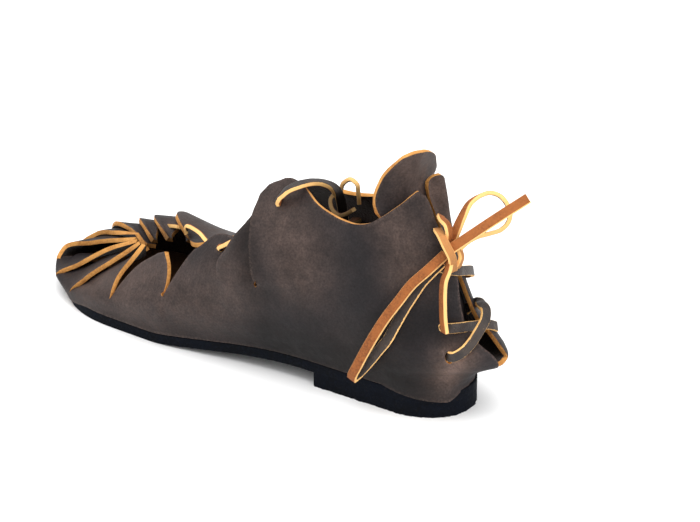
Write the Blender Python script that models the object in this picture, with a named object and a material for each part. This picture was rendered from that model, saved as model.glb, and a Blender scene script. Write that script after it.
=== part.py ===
"""Left leather sandal: a slit and laced leather upper on a thin rubber sole with a low heel.

Tables are in millimetres: x from the back of the heel to the toe, y to the wearer's left
(the outer side of this shoe), z up from the floor.
"""
import math

import bmesh
import bpy
import numpy as np

MM = 0.001
HEEL_CENTRE = 40.0        # x of the frame's origin, under the middle of the heel
LENGTH = 266.0            # sole, heel to toe
LEATHER = 2.4             # thickness of the upper
THONG_WIDTH = 5.0
THONG_THICK = 2.2
GAP = 0.3                 # between pieces that meet

# sole
SOLE_THICK = 5.5
HEEL_HEIGHT = 8.0
HEEL_BREAST = 78.0        # front face of the heel
TOE_OVERHANG = 0.5        # the leather stands out past the sole round the toe
HEEL_ROUND = 30.0         # length over which the heel end is rounded
TOE_ROUND = 50.0
TOE_TIP_Y = -4.0
INSOLE_INSET = 3.4
INSOLE_THICK = 2.6

# upper: heights of the slit ends, and the stern that the laced back forms
BACK_SLIT_Z = 27.5
WING_SLIT_X = {1: 105.4, -1: 113.0}    # lateral and medial side
MIDDLE_SLIT_X = 131.2
WING_SLIT_Z = 53.0
VAMP_SLIT_X = 165.0
VAMP_SLIT_Z = 31.0
MEDIAL_SLIT_X = 208.0
STERN_LENGTH = 40.0
LAP = 1.7                 # half the step between two lapped layers

# flap inside the heel
FLAP_THICK = 2.4
FLAP_SWEEP = 69.0         # degrees to each side
FLAP_LIP = 3.5            # how far its outer rim curls out
LIP_START = 0.62
LIP_LOW = 90.0
LIP_HIGH = 108.0


def table(columns, *rows):
    """Named columns of a short table, a row for each section."""
    return {name: np.array([row[i] for row in rows], float) for i, name in enumerate(columns)}


# half widths of the sole's outline before its ends are rounded
SOLE = table(("x", "lateral", "medial"),
             (0, 25.5, 24.5),
             (34, 26, 25.5),
             (60, 27, 26.5),
             (90, 28, 25),
             (120, 31, 25.5),
             (150, 36, 31),
             (178, 39.5, 39),
             (205, 39.5, 44),
             (229, 37.5, 45),
             (250, 34, 42),
             (266, 30, 38))

# underside of the outsole: on the heel, up the waist, flat under the forefoot, toe spring
UNDERSIDE = table(("x", "z"),
                  (0, 8), (78, 8), (100, 7.5), (120, 6), (140, 3.9), (160, 1.6), (180, 0), (236, 0),
                  (266, 2.5))

# half widths of the outer side of the upper at set heights
LATERAL = table(("x", "z30", "z50", "z70", "z90", "z110"),
                (20, 29.5, 29, 25.5, 22.5, 19),
                (45, 31, 32, 30, 27, 23),
                (70, 33, 35, 33, 28.5, 21),
                (95, 34.5, 37.5, 36, 28, 10.5),
                (118, 38.5, 40.5, 36.5, 22.5, 3),
                (140, 41, 38.5, 22, 4, 0),
                (165, 43.5, 29, 9, 0, 0))
MEDIAL = table(("x", "z30", "z50", "z70", "z90", "z110"),
               (20, 29, 28.5, 25, 22.5, 19),
               (45, 30.5, 31, 29, 26, 22),
               (70, 31, 33.5, 32, 26.5, 19),
               (95, 31.5, 35, 33.5, 24, 9),
               (118, 34, 37.5, 33, 18.5, 3),
               (140, 38, 37, 21, 3, 0),
               (165, 42, 31, 9, 0, 0))

# the open back, by height: how far back each side's edge reaches, its distance from the middle,
# how full the side is near it, and how far the medial edge curls forward
STERN = table(("z", "lateral_back", "lateral_edge", "lateral_full",
               "medial_back", "medial_edge", "medial_full", "curl"),
              (12, 1, 0, 0.5, 1, 0, 0.5, 0),
              (15, 1, 0, 0.5, 1, 0, 0.5, 0),
              (20, -1.6, 0, 0.6, -1.6, 0, 0.6, 0),
              (24, -6.5, 0, 0.7, -6.5, 0, 0.7, 0),
              (27.5, -13.5, 0, 0.78, -13.5, 0, 0.78, 0),
              (30, -17.2, 2, 0.78, -17.4, 2.6, 0.78, 0),
              (33, -18.6, 3.6, 0.75, -18.4, 5, 0.75, 0),
              (36, -18.6, 5.4, 0.72, -15.5, 5.8, 0.72, 0),
              (39, -17.2, 7, 0.7, -12.2, 6, 0.7, 0),
              (42, -12.8, 8.2, 0.7, -9, 6.1, 0.7, 0),
              (45, -8.8, 9, 0.7, -5.4, 6, 0.7, 0),
              (50, -4.5, 9.3, 0.68, -0.5, 5, 0.68, 0),
              (55, -1.4, 9.5, 0.65, 2.8, 5, 0.66, 0),
              (63.5, 0.8, 9.5, 0.62, 6.6, 4.5, 0.62, 0),
              (77, 3.6, 8.4, 0.58, 12.5, 4, 0.54, 0),
              (87, 9.5, 6.5, 0.55, 17, 4, 0.48, 0.6),
              (98.5, 16.9, 6, 0.52, 21.6, 4, 0.44, 1.6),
              (110, 21.9, 6.5, 0.5, 24.2, 3.4, 0.42, 2.2),
              (117, 25.1, 8, 0.5, 25, 3, 0.42, 2.2),
              (124, 28, 8.5, 0.5, 25.4, 3, 0.42, 2))

# collar height from the back edge (0) to the wing's front edge (1) of each side
LATERAL_COLLAR = table(("along", "z"),
                       (0.00, 116), (0.04, 115.5), (0.10, 111.5), (0.17, 107), (0.225, 103.6),
                       (0.31, 99.3),
                       (0.40, 97.7), (0.47, 98.1), (0.55, 99.4), (0.64, 101.3), (0.74, 104.2),
                       (0.80, 105.5),
                       (0.85, 105.3), (0.895, 104.3), (0.925, 102.8), (0.968, 100.6), (0.99, 98),
                       (1.00, 94.5))
MEDIAL_COLLAR = table(("along", "z"),
                      (0.00, 118), (0.006, 119.2), (0.02, 116.8), (0.05, 112), (0.12, 106), (0.28, 96),
                      (0.41, 90.5), (0.56, 86.5), (0.68, 85.5), (0.80, 87.5), (0.90, 88), (0.96, 86),
                      (1.00, 82))

# front edge of the ankle wing
WING_EDGE = table(("z", "lateral", "medial"),
                  (53, 105.4, 113), (58.5, 106.5, 115.4), (63, 107.8, 118), (68, 109.2, 120),
                  (74, 111, 121.7), (80, 112.9, 122), (86.8, 114.6, 120.5), (91, 114.8, 119),
                  (96, 114.8, 117), (99, 113, 116))

# small middle flap: its rear edge lies under the ankle wing, its front edge over the vamp wing
MIDDLE_EDGE = table(("z", "rear", "front"),
                    (53, 105.4, 131.2), (55.5, 110, 131.4), (58.5, 109.6, 131.2), (63, 105.6, 129.2),
                    (70.2, 102.4, 125),
                    (74.4, 102, 122.5), (80.6, 102, 118.6), (84, 102, 116.6), (87.5, 102, 114.6))
MIDDLE_TOP = table(("along", "z"), (0, 84), (0.6, 86.5), (1, 86.5))

# vamp wing: its rear edge lies under the middle flap, top edge from the rear (0) to the front (1)
VAMP_EDGE = table(("z", "rear", "front"),
                  (31, 131.2, 165.5), (38, 131.2, 164), (46, 131.2, 160.8), (53, 131.2, 157),
                  (55.5, 135.4, 155.2),
                  (58.5, 134.6, 153), (63, 129.6, 150), (68, 126, 149), (74, 124, 148))
VAMP_TOP = table(("along", "z"), (0, 74), (0.4, 70), (0.7, 67), (0.85, 64.6), (0.94, 61.5), (1, 56.5))

# raised first edge of each toe strip: where its slit ends, a low and a high point on the way, its tip
STRIPS = table(("slit_x", "slit_y", "slit_z", "low_x", "low_y", "low_z",
                "high_x", "high_y", "high_z", "tip_x", "tip_y", "tip_z", "drop"),
               (165, 43.4, 31, 165.5, 39, 38, 169, 33.5, 45, 175, 28.5, 49.5, 0),
               (204, 41, 18, 205, 35, 26.5, 204.5, 21, 35.5, 205.5, 11.5, 39, 4),
               (240, 33.5, 8, 233, 29, 17.5, 220, 20.5, 29, 208.8, 10, 39, 4.6),
               (257.5, 25, 10, 246, 18.5, 19, 231, 11, 29.5, 212, 8, 38.5, 5.2),
               (268.5, 12.5, 11.5, 268.5, 7, 17.5, 251, 2.5, 24.5, 215, 5.5, 38, 8),
               (269.5, -7.5, 11, 258, -9, 23.5, 240, -5, 31, 216, 2, 39, 3.6),
               (260, -25, 10.5, 249, -15.5, 30, 230, -7, 35, 208.5, 4, 35.5, 3.8),
               (246, -38, 12, 239, -29, 27, 229.5, -14.5, 38, 206, 1, 37.5, 3.8),
               (229, -45, 14, 226, -34, 31, 219.5, -15.5, 42, 194.5, 2, 42.2, 3.8),
               (208, -46.5, 22, 209, -36, 37, 204, -17, 47.6, 179, 3, 46, 3.8))
STRIP_DROP_TIP = 7.5      # lateral strips; the medial ones only tuck under each other
LATERAL_STRIPS = 6
TOE_PIVOT = (215.0, -2.0)  # the strips fan out round this point

# side tab's front edge, under the first strip
TAB_FRONT = table(("x", "y", "z"), (200, 35, 27), (194, 29, 36), (182, 25.5, 45.5))

# medial vamp wing behind its front edge: shoulder and end of the sections towards the heel
MEDIAL_VAMP = table(("x", "side_y", "side_z", "shoulder_y", "shoulder_z", "end_x", "end_y", "end_z"),
                    (190, -44, 27, -27, 39.5, 172, 11, 50),
                    (165, -41, 30, -24, 43.5, 160, 17, 54.5),
                    (140, -38, 35, -26, 54, 140, 14, 63),
                    (113, -36, 40, -33, 62, 112, -2, 81))

# flap: back, half widths and depths by height
FLAP = table(("z", "back", "lateral_half", "medial_half", "lateral_depth", "medial_depth"),
             (16, 8, 19.5, 19.5, 24, 24),
             (30, 6.5, 22, 22, 24, 24),
             (50, 7, 21, 18.6, 24, 24),
             (64, 11, 19.6, 15.6, 24, 24),
             (75, 16, 17, 14, 24, 24),
             (87, 21.8, 15.6, 13.6, 24, 24),
             (100, 27.8, 16.2, 15.6, 25, 21),
             (110, 32.4, 17.3, 21.2, 26, 12.5),
             (120, 33.4, 19, 25, 24.5, 3.5),
             (128, 31.5, 19.3, 25, 24, 2),
             (136, 29.5, 18, 22, 23, 1.5))

# height of the flap's rim from the medial edge (-1) to the lateral edge (1)
FLAP_RIM = table(("share", "z"),
                 (-1, 96), (-0.85, 108), (-0.7, 117.5), (-0.5, 125.5), (-0.25, 130.8), (0, 133.4),
                 (0.25, 134.3),
                 (0.5, 133), (0.7, 127), (0.86, 117.5), (0.95, 111), (1, 104))


def smooth(xs, ys, at):
    """Monotone cubic through the rows of a table."""
    xs = np.asarray(xs, float)
    ys = np.asarray(ys, float)
    at = np.clip(np.asarray(at, float), xs[0], xs[-1])
    step = np.diff(xs)
    slope = np.diff(ys) / step
    tangent = np.zeros_like(ys)
    tangent[0] = slope[0]
    tangent[-1] = slope[-1]
    same = slope[:-1] * slope[1:] > 0
    mean = 2 * slope[:-1] * slope[1:] / np.where(same, slope[:-1] + slope[1:], 1)
    tangent[1:-1] = np.where(same, mean, 0)
    i = np.clip(np.searchsorted(xs, at, side="right") - 1, 0, len(step) - 1)
    t = (at - xs[i]) / step[i]
    h = step[i]
    return ((1 + 2 * t) * (1 - t) ** 2 * ys[i] + t * (1 - t) ** 2 * h * tangent[i]
            + t * t * (3 - 2 * t) * ys[i + 1] + t * t * (t - 1) * h * tangent[i + 1])


def ramp(start, end, at):
    t = np.clip((np.asarray(at, float) - start) / (end - start), 0, 1)
    return t * t * (3 - 2 * t)


def through(points, at):
    """Rounded curve through a few points, parameter 0 to 1 by chord length."""
    points = np.asarray(points, float)
    chord = np.r_[0, np.cumsum(np.linalg.norm(np.diff(points, axis=0), axis=1))]
    chord /= chord[-1]
    n = len(points)
    tangent = np.gradient(points, chord, axis=0)
    at = np.asarray(at, float)
    i = np.clip(np.searchsorted(chord, at, side="right") - 1, 0, n - 2)
    h = (chord[i + 1] - chord[i])[:, None]
    t = ((at - chord[i]) / h[:, 0])[:, None]
    return ((1 + 2 * t) * (1 - t) ** 2 * points[i] + t * (1 - t) ** 2 * h * tangent[i]
            + t * t * (3 - 2 * t) * points[i + 1] + t * t * (t - 1) * h * tangent[i + 1])


# sole

def end_round(x):
    heel = np.sqrt(np.clip(1 - (1 - np.minimum(x, HEEL_ROUND) / HEEL_ROUND) ** 2, 0, 1))
    left = LENGTH - x
    toe = np.sqrt(np.clip(1 - (1 - np.minimum(left, TOE_ROUND) / TOE_ROUND) ** 2, 0, 1))
    return heel * toe


def centre_y(x):
    return TOE_TIP_Y * ramp(180, LENGTH, x)


def outline(x, side):
    """Sole's edge at station x on one side, +1 lateral or -1 medial."""
    half = smooth(SOLE["x"], SOLE["lateral" if side > 0 else "medial"], x)
    middle = centre_y(x)
    return middle + (side * half - middle) * end_round(x)


def sole_bottom(x):
    return smooth(UNDERSIDE["x"], UNDERSIDE["z"], x)


def sole_top(x):
    return sole_bottom(x) + SOLE_THICK


def foot_z(x):
    return sole_top(x) + GAP


def stations(start, end, count):
    turn = np.linspace(0, math.pi, count)
    return start + (end - start) * (1 - np.cos(turn)) / 2


# upper: outer surface

def side_half(x, z, side):
    """Half width of the upper at a point along and a height."""
    rows = LATERAL if side > 0 else MEDIAL
    heights = (30.0, 50.0, 70.0, 90.0, 110.0)
    columns = [smooth(rows["x"], rows["z%d" % h], x) for h in heights]
    base = smooth(SOLE["x"], SOLE["lateral" if side > 0 else "medial"], x)
    low = foot_z(x)
    values = np.array([base] + columns)
    levels = np.array([low] + [np.full_like(low, h) for h in heights])
    out = np.empty_like(low)
    for i in range(len(low)):
        z_i = min(max(z[i], low[i]), 130.0)
        last = values[-1, i] + (values[-1, i] - values[-2, i])
        out[i] = smooth(np.r_[levels[:, i], 130.0], np.r_[values[:, i], last], z_i)
    return out


def stern_point(x, z, side):
    """Point of an ankle panel's outer side, drawn in to its edge at the back."""
    name = "lateral" if side > 0 else "medial"
    back = smooth(STERN["z"], STERN[name + "_back"], z)
    edge = smooth(STERN["z"], STERN[name + "_edge"], z)
    power = smooth(STERN["z"], STERN[name + "_full"], z)
    open_back = ramp(15, 27, z)
    reach = np.clip((x - back) / (HEEL_ROUND + (STERN_LENGTH - HEEL_ROUND) * open_back), 0, 1)
    heel = np.sqrt(1 - (1 - reach) ** 2)
    fill = heel + (np.sin(reach * math.pi / 2) ** power - heel) * open_back
    half = edge + (side_half(x, z, side) - edge) * fill
    if side < 0:
        x = x + smooth(STERN["z"], STERN["curl"], z) * ramp(12, 3, half)
    return np.stack([x, side * half, z], -1)


def ankle_panel(side, columns, rows):
    """Grid of an ankle panel: first index from the back edge to the wing's front edge."""
    name = "lateral" if side > 0 else "medial"
    collar = LATERAL_COLLAR if side > 0 else MEDIAL_COLLAR
    slit_x = WING_SLIT_X[side]
    even = np.linspace(0, 1, columns)
    along = even ** 1.6
    grid = np.empty((columns, rows, 3))
    low_back = foot_z(np.array([1.0]))[0]
    low_front = foot_z(np.array([slit_x]))[0]
    back_rows = row_levels(low_back, BACK_SLIT_Z, collar["z"][0], BACK_SLIT_ROW, rows)
    front_rows = row_levels(low_front, WING_SLIT_Z, collar["z"][-1], WING_SLIT_ROW, rows)
    for i, a in enumerate(along):
        top = smooth(collar["along"], collar["z"], a)
        share = (1 - a) * back_rows + a * front_rows
        low = foot_z(np.array([1 + a * (slit_x - 1)]))[0]
        z = low + share * (top - low)
        back = smooth(STERN["z"], STERN[name + "_back"], z)
        front = smooth(WING_EDGE["z"], WING_EDGE[name], z)
        grid[i] = stern_point(back + a * (front - back), z, side)
    lift = LAP * ramp(0.72, 1.0, along)[:, None] * ramp(WING_SLIT_Z, WING_SLIT_Z + 7, grid[:, :, 2])
    return grid + lift[..., None] * normals(grid, side)


def row_levels(low, slit, top, slit_row, rows):
    """Heights of the rows as shares of the wall, with one row at the slit's end."""
    below = np.linspace(low, slit, slit_row + 1)
    above = np.linspace(slit, top, rows - slit_row)
    return (np.r_[below, above[1:]] - low) / (top - low)


def normals(grid, side):
    """Outward unit normals of a grid of points."""
    across = np.gradient(grid, axis=0)
    up = np.gradient(grid, axis=1)
    n = np.cross(across, up)
    n /= np.maximum(np.linalg.norm(n, axis=-1, keepdims=True), 1e-9)
    return -side * n


def side_flap(edges, tops, slit_xs, slit_zs, slit_rows, columns, rows):
    """Grid of a lateral flap from its rear edge to its front edge, on the shoe's outer side."""
    grid = np.empty((columns, rows, 3))
    levels = []
    for x, z, row, top in zip(slit_xs, slit_zs, slit_rows, (tops["z"][0], tops["z"][-1])):
        levels.append(row_levels(foot_z(np.array([x]))[0], z, top, row, rows))
    for i, a in enumerate(np.linspace(0, 1, columns)):
        share = (1 - a) * levels[0] + a * levels[1]
        low = foot_z(np.array([slit_xs[0] + a * (slit_xs[1] - slit_xs[0])]))[0]
        z = low + share * (smooth(tops["along"], tops["z"], a) - low)
        rear = smooth(edges["z"], edges["rear"], z)
        x = rear + a * (smooth(edges["z"], edges["front"], z) - rear)
        grid[i] = np.stack([x, side_half(x, z, 1), z], -1)
    return grid


def lapped(grid, rear_drop, front_lift):
    """A flap moved in under its rear neighbour and out over its front neighbour, above the slits."""
    along = np.linspace(0, 1, len(grid))
    step = front_lift * ramp(0.5, 0.9, along) - rear_drop * (1 - ramp(0.12, 0.5, along))
    step = step[:, None] * ramp(WING_SLIT_Z, WING_SLIT_Z + 7, grid[:, :, 2])
    return grid + step[..., None] * normals(grid, 1)


def middle_flap(columns, rows):
    grid = side_flap(MIDDLE_EDGE, MIDDLE_TOP, (WING_SLIT_X[1], MIDDLE_SLIT_X), (WING_SLIT_Z, WING_SLIT_Z),
                     (WING_SLIT_ROW, WING_SLIT_ROW), columns, rows)
    return lapped(grid, 1.5 * LAP, LAP)


def vamp_wing(columns, rows):
    grid = side_flap(VAMP_EDGE, VAMP_TOP, (MIDDLE_SLIT_X, VAMP_SLIT_X), (WING_SLIT_Z, VAMP_SLIT_Z),
                     (WING_SLIT_ROW, STRIP_SLIT_ROW), columns, rows)
    return lapped(grid, LAP, 0)


def strip_edge(k, rows):
    """Raised first edge of strip k from the sole to its tip."""
    row = {name: STRIPS[name][k] for name in STRIPS}
    points = [np.array([row[p + "_x"], row[p + "_y"], row[p + "_z"]]) for p in ("slit", "low", "high", "tip")]
    turn = math.atan2(points[0][1] - TOE_PIVOT[1], points[0][0] - TOE_PIVOT[0])
    foot = edge_at(turn)
    if k == 0:
        x = np.array([VAMP_SLIT_X])
        foot = np.array([VAMP_SLIT_X, outline(x, 1)[0], foot_z(x)[0]])
    points.insert(0, foot)
    length = np.r_[0, np.cumsum(np.linalg.norm(np.diff(points, axis=0), axis=1))]
    slit = length[1] / length[-1]
    share = np.r_[np.linspace(0, slit, STRIP_SLIT_ROW + 1), np.linspace(slit, 1, rows - STRIP_SLIT_ROW)[1:]]
    return through(points, share)


def tucked(k, rows):
    """Second edge of the strip before strip k: it runs under the first edge of strip k."""
    edge = strip_edge(k, rows)
    inner = np.stack([np.clip(edge[:, 0] - 12, 190, 252), np.full(rows, -2.0), np.zeros(rows)], -1)
    out = edge - inner
    out /= np.linalg.norm(out, axis=1, keepdims=True)
    v = np.clip((np.arange(rows) - STRIP_SLIT_ROW) / (rows - 1 - STRIP_SLIT_ROW), 0, 1)
    deep = STRIPS["drop"][k]
    drop = deep * ramp(0, 0.9 / deep, v)
    if k < LATERAL_STRIPS:
        drop = drop + (STRIP_DROP_TIP - deep) * ramp(0.6, 1, v)
    return edge - drop[:, None] * out


def strip_panel(k, columns, rows):
    """One toe strip between its raised first edge and its tucked second edge."""
    first = strip_edge(k, rows)
    second = tucked(k + 1, rows)
    if k == 0:
        tab = [strip_edge(1, rows)[STRIP_SLIT_ROW]]
        tab += [np.array([TAB_FRONT[c][i] for c in ("x", "y", "z")]) for i in range(3)]
        free = through(tab, np.linspace(0, 1, rows - STRIP_SLIT_ROW))
        second = np.vstack([second[:STRIP_SLIT_ROW + 1], free[1:]])
    base = base_line(first[0], second[0], columns)
    grid = np.empty((columns, rows, 3))
    fall = np.clip(1 - np.arange(rows) / (rows * 0.6), 0, 1)
    for i in range(columns):
        u = i / (columns - 1)
        straight = (1 - u) * first + u * second
        swell = base[i] - straight[0]
        grid[i] = straight + swell[None] * fall[:, None]
    return grid


def base_line(start, end, columns):
    """Points on the sole's edge between two strips' feet."""
    turns = [math.atan2(p[1] - TOE_PIVOT[1], p[0] - TOE_PIVOT[0]) for p in (start, end)]
    out = [edge_at(turns[0] + (turns[1] - turns[0]) * i / (columns - 1)) for i in range(columns)]
    out[0] = start
    out[-1] = end
    return out


def edge_at(turn, overhang=TOE_OVERHANG):
    """Sole's edge in a given direction from a point inside the toe."""
    near, far = 5.0, 90.0
    for _ in range(40):
        r = (near + far) / 2
        x = TOE_PIVOT[0] + r * math.cos(turn)
        y = TOE_PIVOT[1] + r * math.sin(turn)
        inside = False
        if 0 < x < LENGTH:
            xs = np.array([x])
            inside = outline(xs, -1)[0] < y < outline(xs, 1)[0]
        near, far = (r, far) if inside else (near, r)
    near = near + overhang * math.cos(turn) ** 2 * (math.cos(turn) > 0)
    x = TOE_PIVOT[0] + near * math.cos(turn)
    return np.array([x, TOE_PIVOT[1] + near * math.sin(turn), foot_z(np.array([min(x, LENGTH)]))[0]])


def medial_vamp(columns, rows):
    """Medial vamp wing: it reaches over the instep, its rear lapped under the ankle wing."""
    sections = [strip_edge(len(STRIPS["slit_x"]) - 1, rows)]
    front_share = np.linspace(0, 1, rows)
    rear_share = np.interp(np.arange(rows), (0, WING_SLIT_ROW, rows - 1), (0, 0.56, 1))
    for i in range(len(MEDIAL_VAMP["x"])):
        row = {name: MEDIAL_VAMP[name][i] for name in MEDIAL_VAMP}
        x = row["x"]
        a = (MEDIAL_SLIT_X - x) / (MEDIAL_SLIT_X - WING_SLIT_X[-1])
        foot = np.array([x, outline(np.array([x]), -1)[0], foot_z(np.array([x]))[0]])
        side = np.array([x, row["side_y"], row["side_z"]])
        shoulder = np.array([(x + row["end_x"]) / 2, row["shoulder_y"], row["shoulder_z"]])
        end = np.array([row["end_x"], row["end_y"], row["end_z"]])
        sections.append(through([foot, side, shoulder, end], (1 - a) * front_share + a * rear_share))
    sections = np.array(sections)
    where = np.r_[MEDIAL_SLIT_X, MEDIAL_VAMP["x"]]
    order = np.argsort(where)
    x = np.linspace(MEDIAL_SLIT_X, WING_SLIT_X[-1], columns)
    grid = np.empty((columns, rows, 3))
    for j in range(rows):
        for c in range(3):
            grid[:, j, c] = smooth(where[order], sections[order, j, c], x)
    return grid


BACK_SLIT_ROW = 2
WING_SLIT_ROW = 6
STRIP_SLIT_ROW = 2
ANKLE_ROWS = 15
STRIP_ROWS = 13


def upper_panels():
    """All panels in order from the lateral back edge round the toe to the medial back edge."""
    panels = [ankle_panel(1, 28, ANKLE_ROWS), middle_flap(7, STRIP_ROWS), vamp_wing(8, STRIP_ROWS)]
    count = len(STRIPS["slit_x"]) - 1
    for k in range(count):
        panels.append(strip_panel(k, 6 if k < 2 else 5, STRIP_ROWS))
    panels.append(medial_vamp(14, STRIP_ROWS))
    panels.append(ankle_panel(-1, 28, ANKLE_ROWS)[::-1])
    slit_rows = [WING_SLIT_ROW] * 2 + [STRIP_SLIT_ROW] * (count + 1) + [WING_SLIT_ROW]
    for k, last in enumerate(slit_rows):
        a, b = panels[k], panels[k + 1]
        # the lapped wings keep the ankle panel's own side line below the slit
        shared = a[-1, :last + 1] if k == 0 else (a[-1, :last + 1] + b[0, :last + 1]) / 2
        shared = b[0, :last + 1] if k == len(slit_rows) - 1 else shared
        shared = np.array(shared)
        a[-1, :last + 1] = shared
        b[0, :last + 1] = shared
    middle = (panels[0][0, :BACK_SLIT_ROW + 1] + panels[-1][-1, :BACK_SLIT_ROW + 1]) / 2
    middle[:, 1] = 0
    panels[0][0, :BACK_SLIT_ROW + 1] = middle
    panels[-1][-1, :BACK_SLIT_ROW + 1] = middle
    return panels


# building

def clear_scene():
    for obj in list(bpy.data.objects):
        bpy.data.objects.remove(obj, do_unlink=True)


def material(name, colour, roughness):
    mat = bpy.data.materials.new(name)
    mat.use_nodes = True
    shader = mat.node_tree.nodes["Principled BSDF"]
    shader.inputs["Base Color"].default_value = (*colour, 1)
    shader.inputs["Roughness"].default_value = roughness
    return mat


def in_frame(p):
    return ((p[0] - HEEL_CENTRE) * MM, p[1] * MM, p[2] * MM)


def add_object(name, points, faces, mat, closed=True):
    mesh = bpy.data.meshes.new(name)
    mesh.from_pydata([in_frame(p) for p in points], [], faces)
    mesh.materials.append(mat)
    bm = bmesh.new()
    bm.from_mesh(mesh)
    bmesh.ops.remove_doubles(bm, verts=bm.verts, dist=2e-6)
    if closed:
        bmesh.ops.recalc_face_normals(bm, faces=bm.faces)
    bm.to_mesh(mesh)
    bm.free()
    obj = bpy.data.objects.new(name, mesh)
    bpy.context.collection.objects.link(obj)
    return obj


def grid_faces(columns, rows, start):
    faces = []
    for i in range(columns - 1):
        for j in range(rows - 1):
            a = start + i * rows + j
            faces.append((a, a + 1, a + rows + 1, a + rows))
    return faces


def slab(name, xs, top, bottom, mat, inset=0.0):
    """Solid between the sole's outline, drawn in by an inset, and two heights."""
    rings = []
    for x in xs:
        s = np.array([(x - inset) * LENGTH / (LENGTH - 2 * inset)])
        half = np.array([smooth(SOLE["x"], SOLE[name_], s)[0] for name_ in ("lateral", "medial")])
        lateral = outline(s, 1)[0] * (1 - inset / half[0])
        medial = outline(s, -1)[0] * (1 - inset / half[1])
        here = np.array([x])
        rings.append([(x, lateral, top(here)[0]), (x, lateral, bottom(here)[0]),
                      (x, medial, bottom(here)[0]), (x, medial, top(here)[0])])
    points = [p for ring in rings for p in ring]
    faces = []
    for i in range(len(rings) - 1):
        for j in range(4):
            k = (j + 1) % 4
            faces.append((i * 4 + j, i * 4 + k, i * 4 + 4 + k, i * 4 + 4 + j))
    faces.append((0, 1, 2, 3))
    last = (len(rings) - 1) * 4
    faces.append((last, last + 1, last + 2, last + 3))
    return add_object(name, points, faces, mat)


def sheet_solid(name, panels, thickness, mat):
    """Leather of one thickness behind an outer surface made of grids that share edges."""
    points = []
    faces = []
    for grid in panels:
        start = len(points)
        columns, rows = grid.shape[:2]
        points.extend(map(tuple, grid.reshape(-1, 3)))
        faces.extend(grid_faces(columns, rows, start))
    obj = add_object(name, points, faces, mat, closed=False)
    thick = obj.modifiers.new("leather", "SOLIDIFY")
    thick.thickness = thickness * MM
    thick.offset = -1
    thick.use_rim = True
    return obj


def sections(centres, across, width=THONG_WIDTH, thick=THONG_THICK):
    """Corners of a flat thong's cross-sections along its path."""
    centres = np.asarray(centres, float)
    across = np.broadcast_to(np.asarray(across, float), centres.shape)
    tangent = np.gradient(centres, axis=0)
    tangent /= np.linalg.norm(tangent, axis=1, keepdims=True)
    across = across - (across * tangent).sum(1, keepdims=True) * tangent
    across = across / np.linalg.norm(across, axis=1, keepdims=True)
    face = np.cross(tangent, across)
    corners = []
    for sa, sf in ((1, 1), (-1, 1), (-1, -1), (1, -1)):
        corners.append(centres + across * sa * width / 2 + face * sf * thick / 2)
    return np.stack(corners, 1)


def ribbon(name, centres, across, mat):
    """Flat thong along a path; across gives the direction of its width at each point."""
    points = sections(centres, across).reshape(-1, 3)
    faces = []
    n = len(centres)
    for i in range(n - 1):
        for j in range(4):
            k = (j + 1) % 4
            faces.append((i * 4 + j, i * 4 + k, i * 4 + 4 + k, i * 4 + 4 + j))
    faces.append((3, 2, 1, 0))
    faces.append(tuple((n - 1) * 4 + j for j in range(4)))
    return add_object(name, points, faces, mat)


def build_sole(rubber, leather):
    xs = stations(0.15, LENGTH - 0.15, 58)
    slab("outsole", xs, sole_top, sole_bottom, rubber)
    heel_xs = np.r_[stations(0.15, 2 * HEEL_BREAST, 45)]
    heel_xs = np.r_[heel_xs[heel_xs < HEEL_BREAST - 1], HEEL_BREAST]
    slab("heel_lift", heel_xs, lambda x: np.full_like(x, HEEL_HEIGHT - GAP), np.zeros_like, rubber)
    inner = stations(INSOLE_INSET + 0.2, LENGTH - INSOLE_INSET - 0.2, 46)
    slab("insole", inner, lambda x: foot_z(x) + INSOLE_THICK, foot_z, leather, INSOLE_INSET)


# thongs: points along each path in order
HEEL_AXIS_X = 32.0        # the heel is rounded about an upright line here
HEEL_PATH = table(("x", "y", "z"),
                  (7.4, 13.6, 81.5), (3.6, 9.6, 80.4), (3.6, 3, 77.8), (4.4, -4, 74.8),
                  (5.4, -10, 71.4), (6, -15.6, 66.5),
                  (3.6, -18.4, 61), (0.6, -16, 57), (-2, -9, 57), (-5.6, -3.6, 58.6), (-9.4, 1, 58.9),
                  (-11.6, 5.6, 56.4),
                  (-11.6, 10, 52), (-10.6, 14.6, 46.8), (-8.6, 19.4, 43), (-5.6, 23.4, 40.6))
BAR_PATH = table(("x", "y", "z"),
                 (-1.6, 14.8, 52.4), (-4.5, 12.2, 52.4), (-7.2, 8.6, 51.4), (-7.2, 2.5, 49.4),
                 (-7.9, -4, 47.4), (-9.3, -9.6, 45), (-8.7, -15, 42.8))
ANKLE_PATH = table(("x", "y", "z"),
                   (101.9, 26.5, 96.6), (98.2, 27.2, 101.6), (94.6, 26, 105.4), (91.6, 22, 107.4),
                   (89.6, 16.5, 107.4), (88.2, 9.5, 105.4), (86.8, 3.4, 102.4), (85.6, -1.2, 98.6),
                   (85.4, -5, 93.2), (86.6, -9.5, 88), (88.4, -16, 85), (90, -20.4, 83.9),
                   (91.4, -23.8, 83.2))
VAMP_PATH = table(("x", "y", "z"),
                  (195, -6.5, 49.4), (190.5, -4, 50.6), (184, -1, 52), (174.5, 4, 54.2), (166, 9, 56.4),
                  (161, 12, 57.6))
KNOT = (7.0, 12.4, 90.3)
KNOT_RADII = (4.2, 4.6, 6.0)
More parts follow.
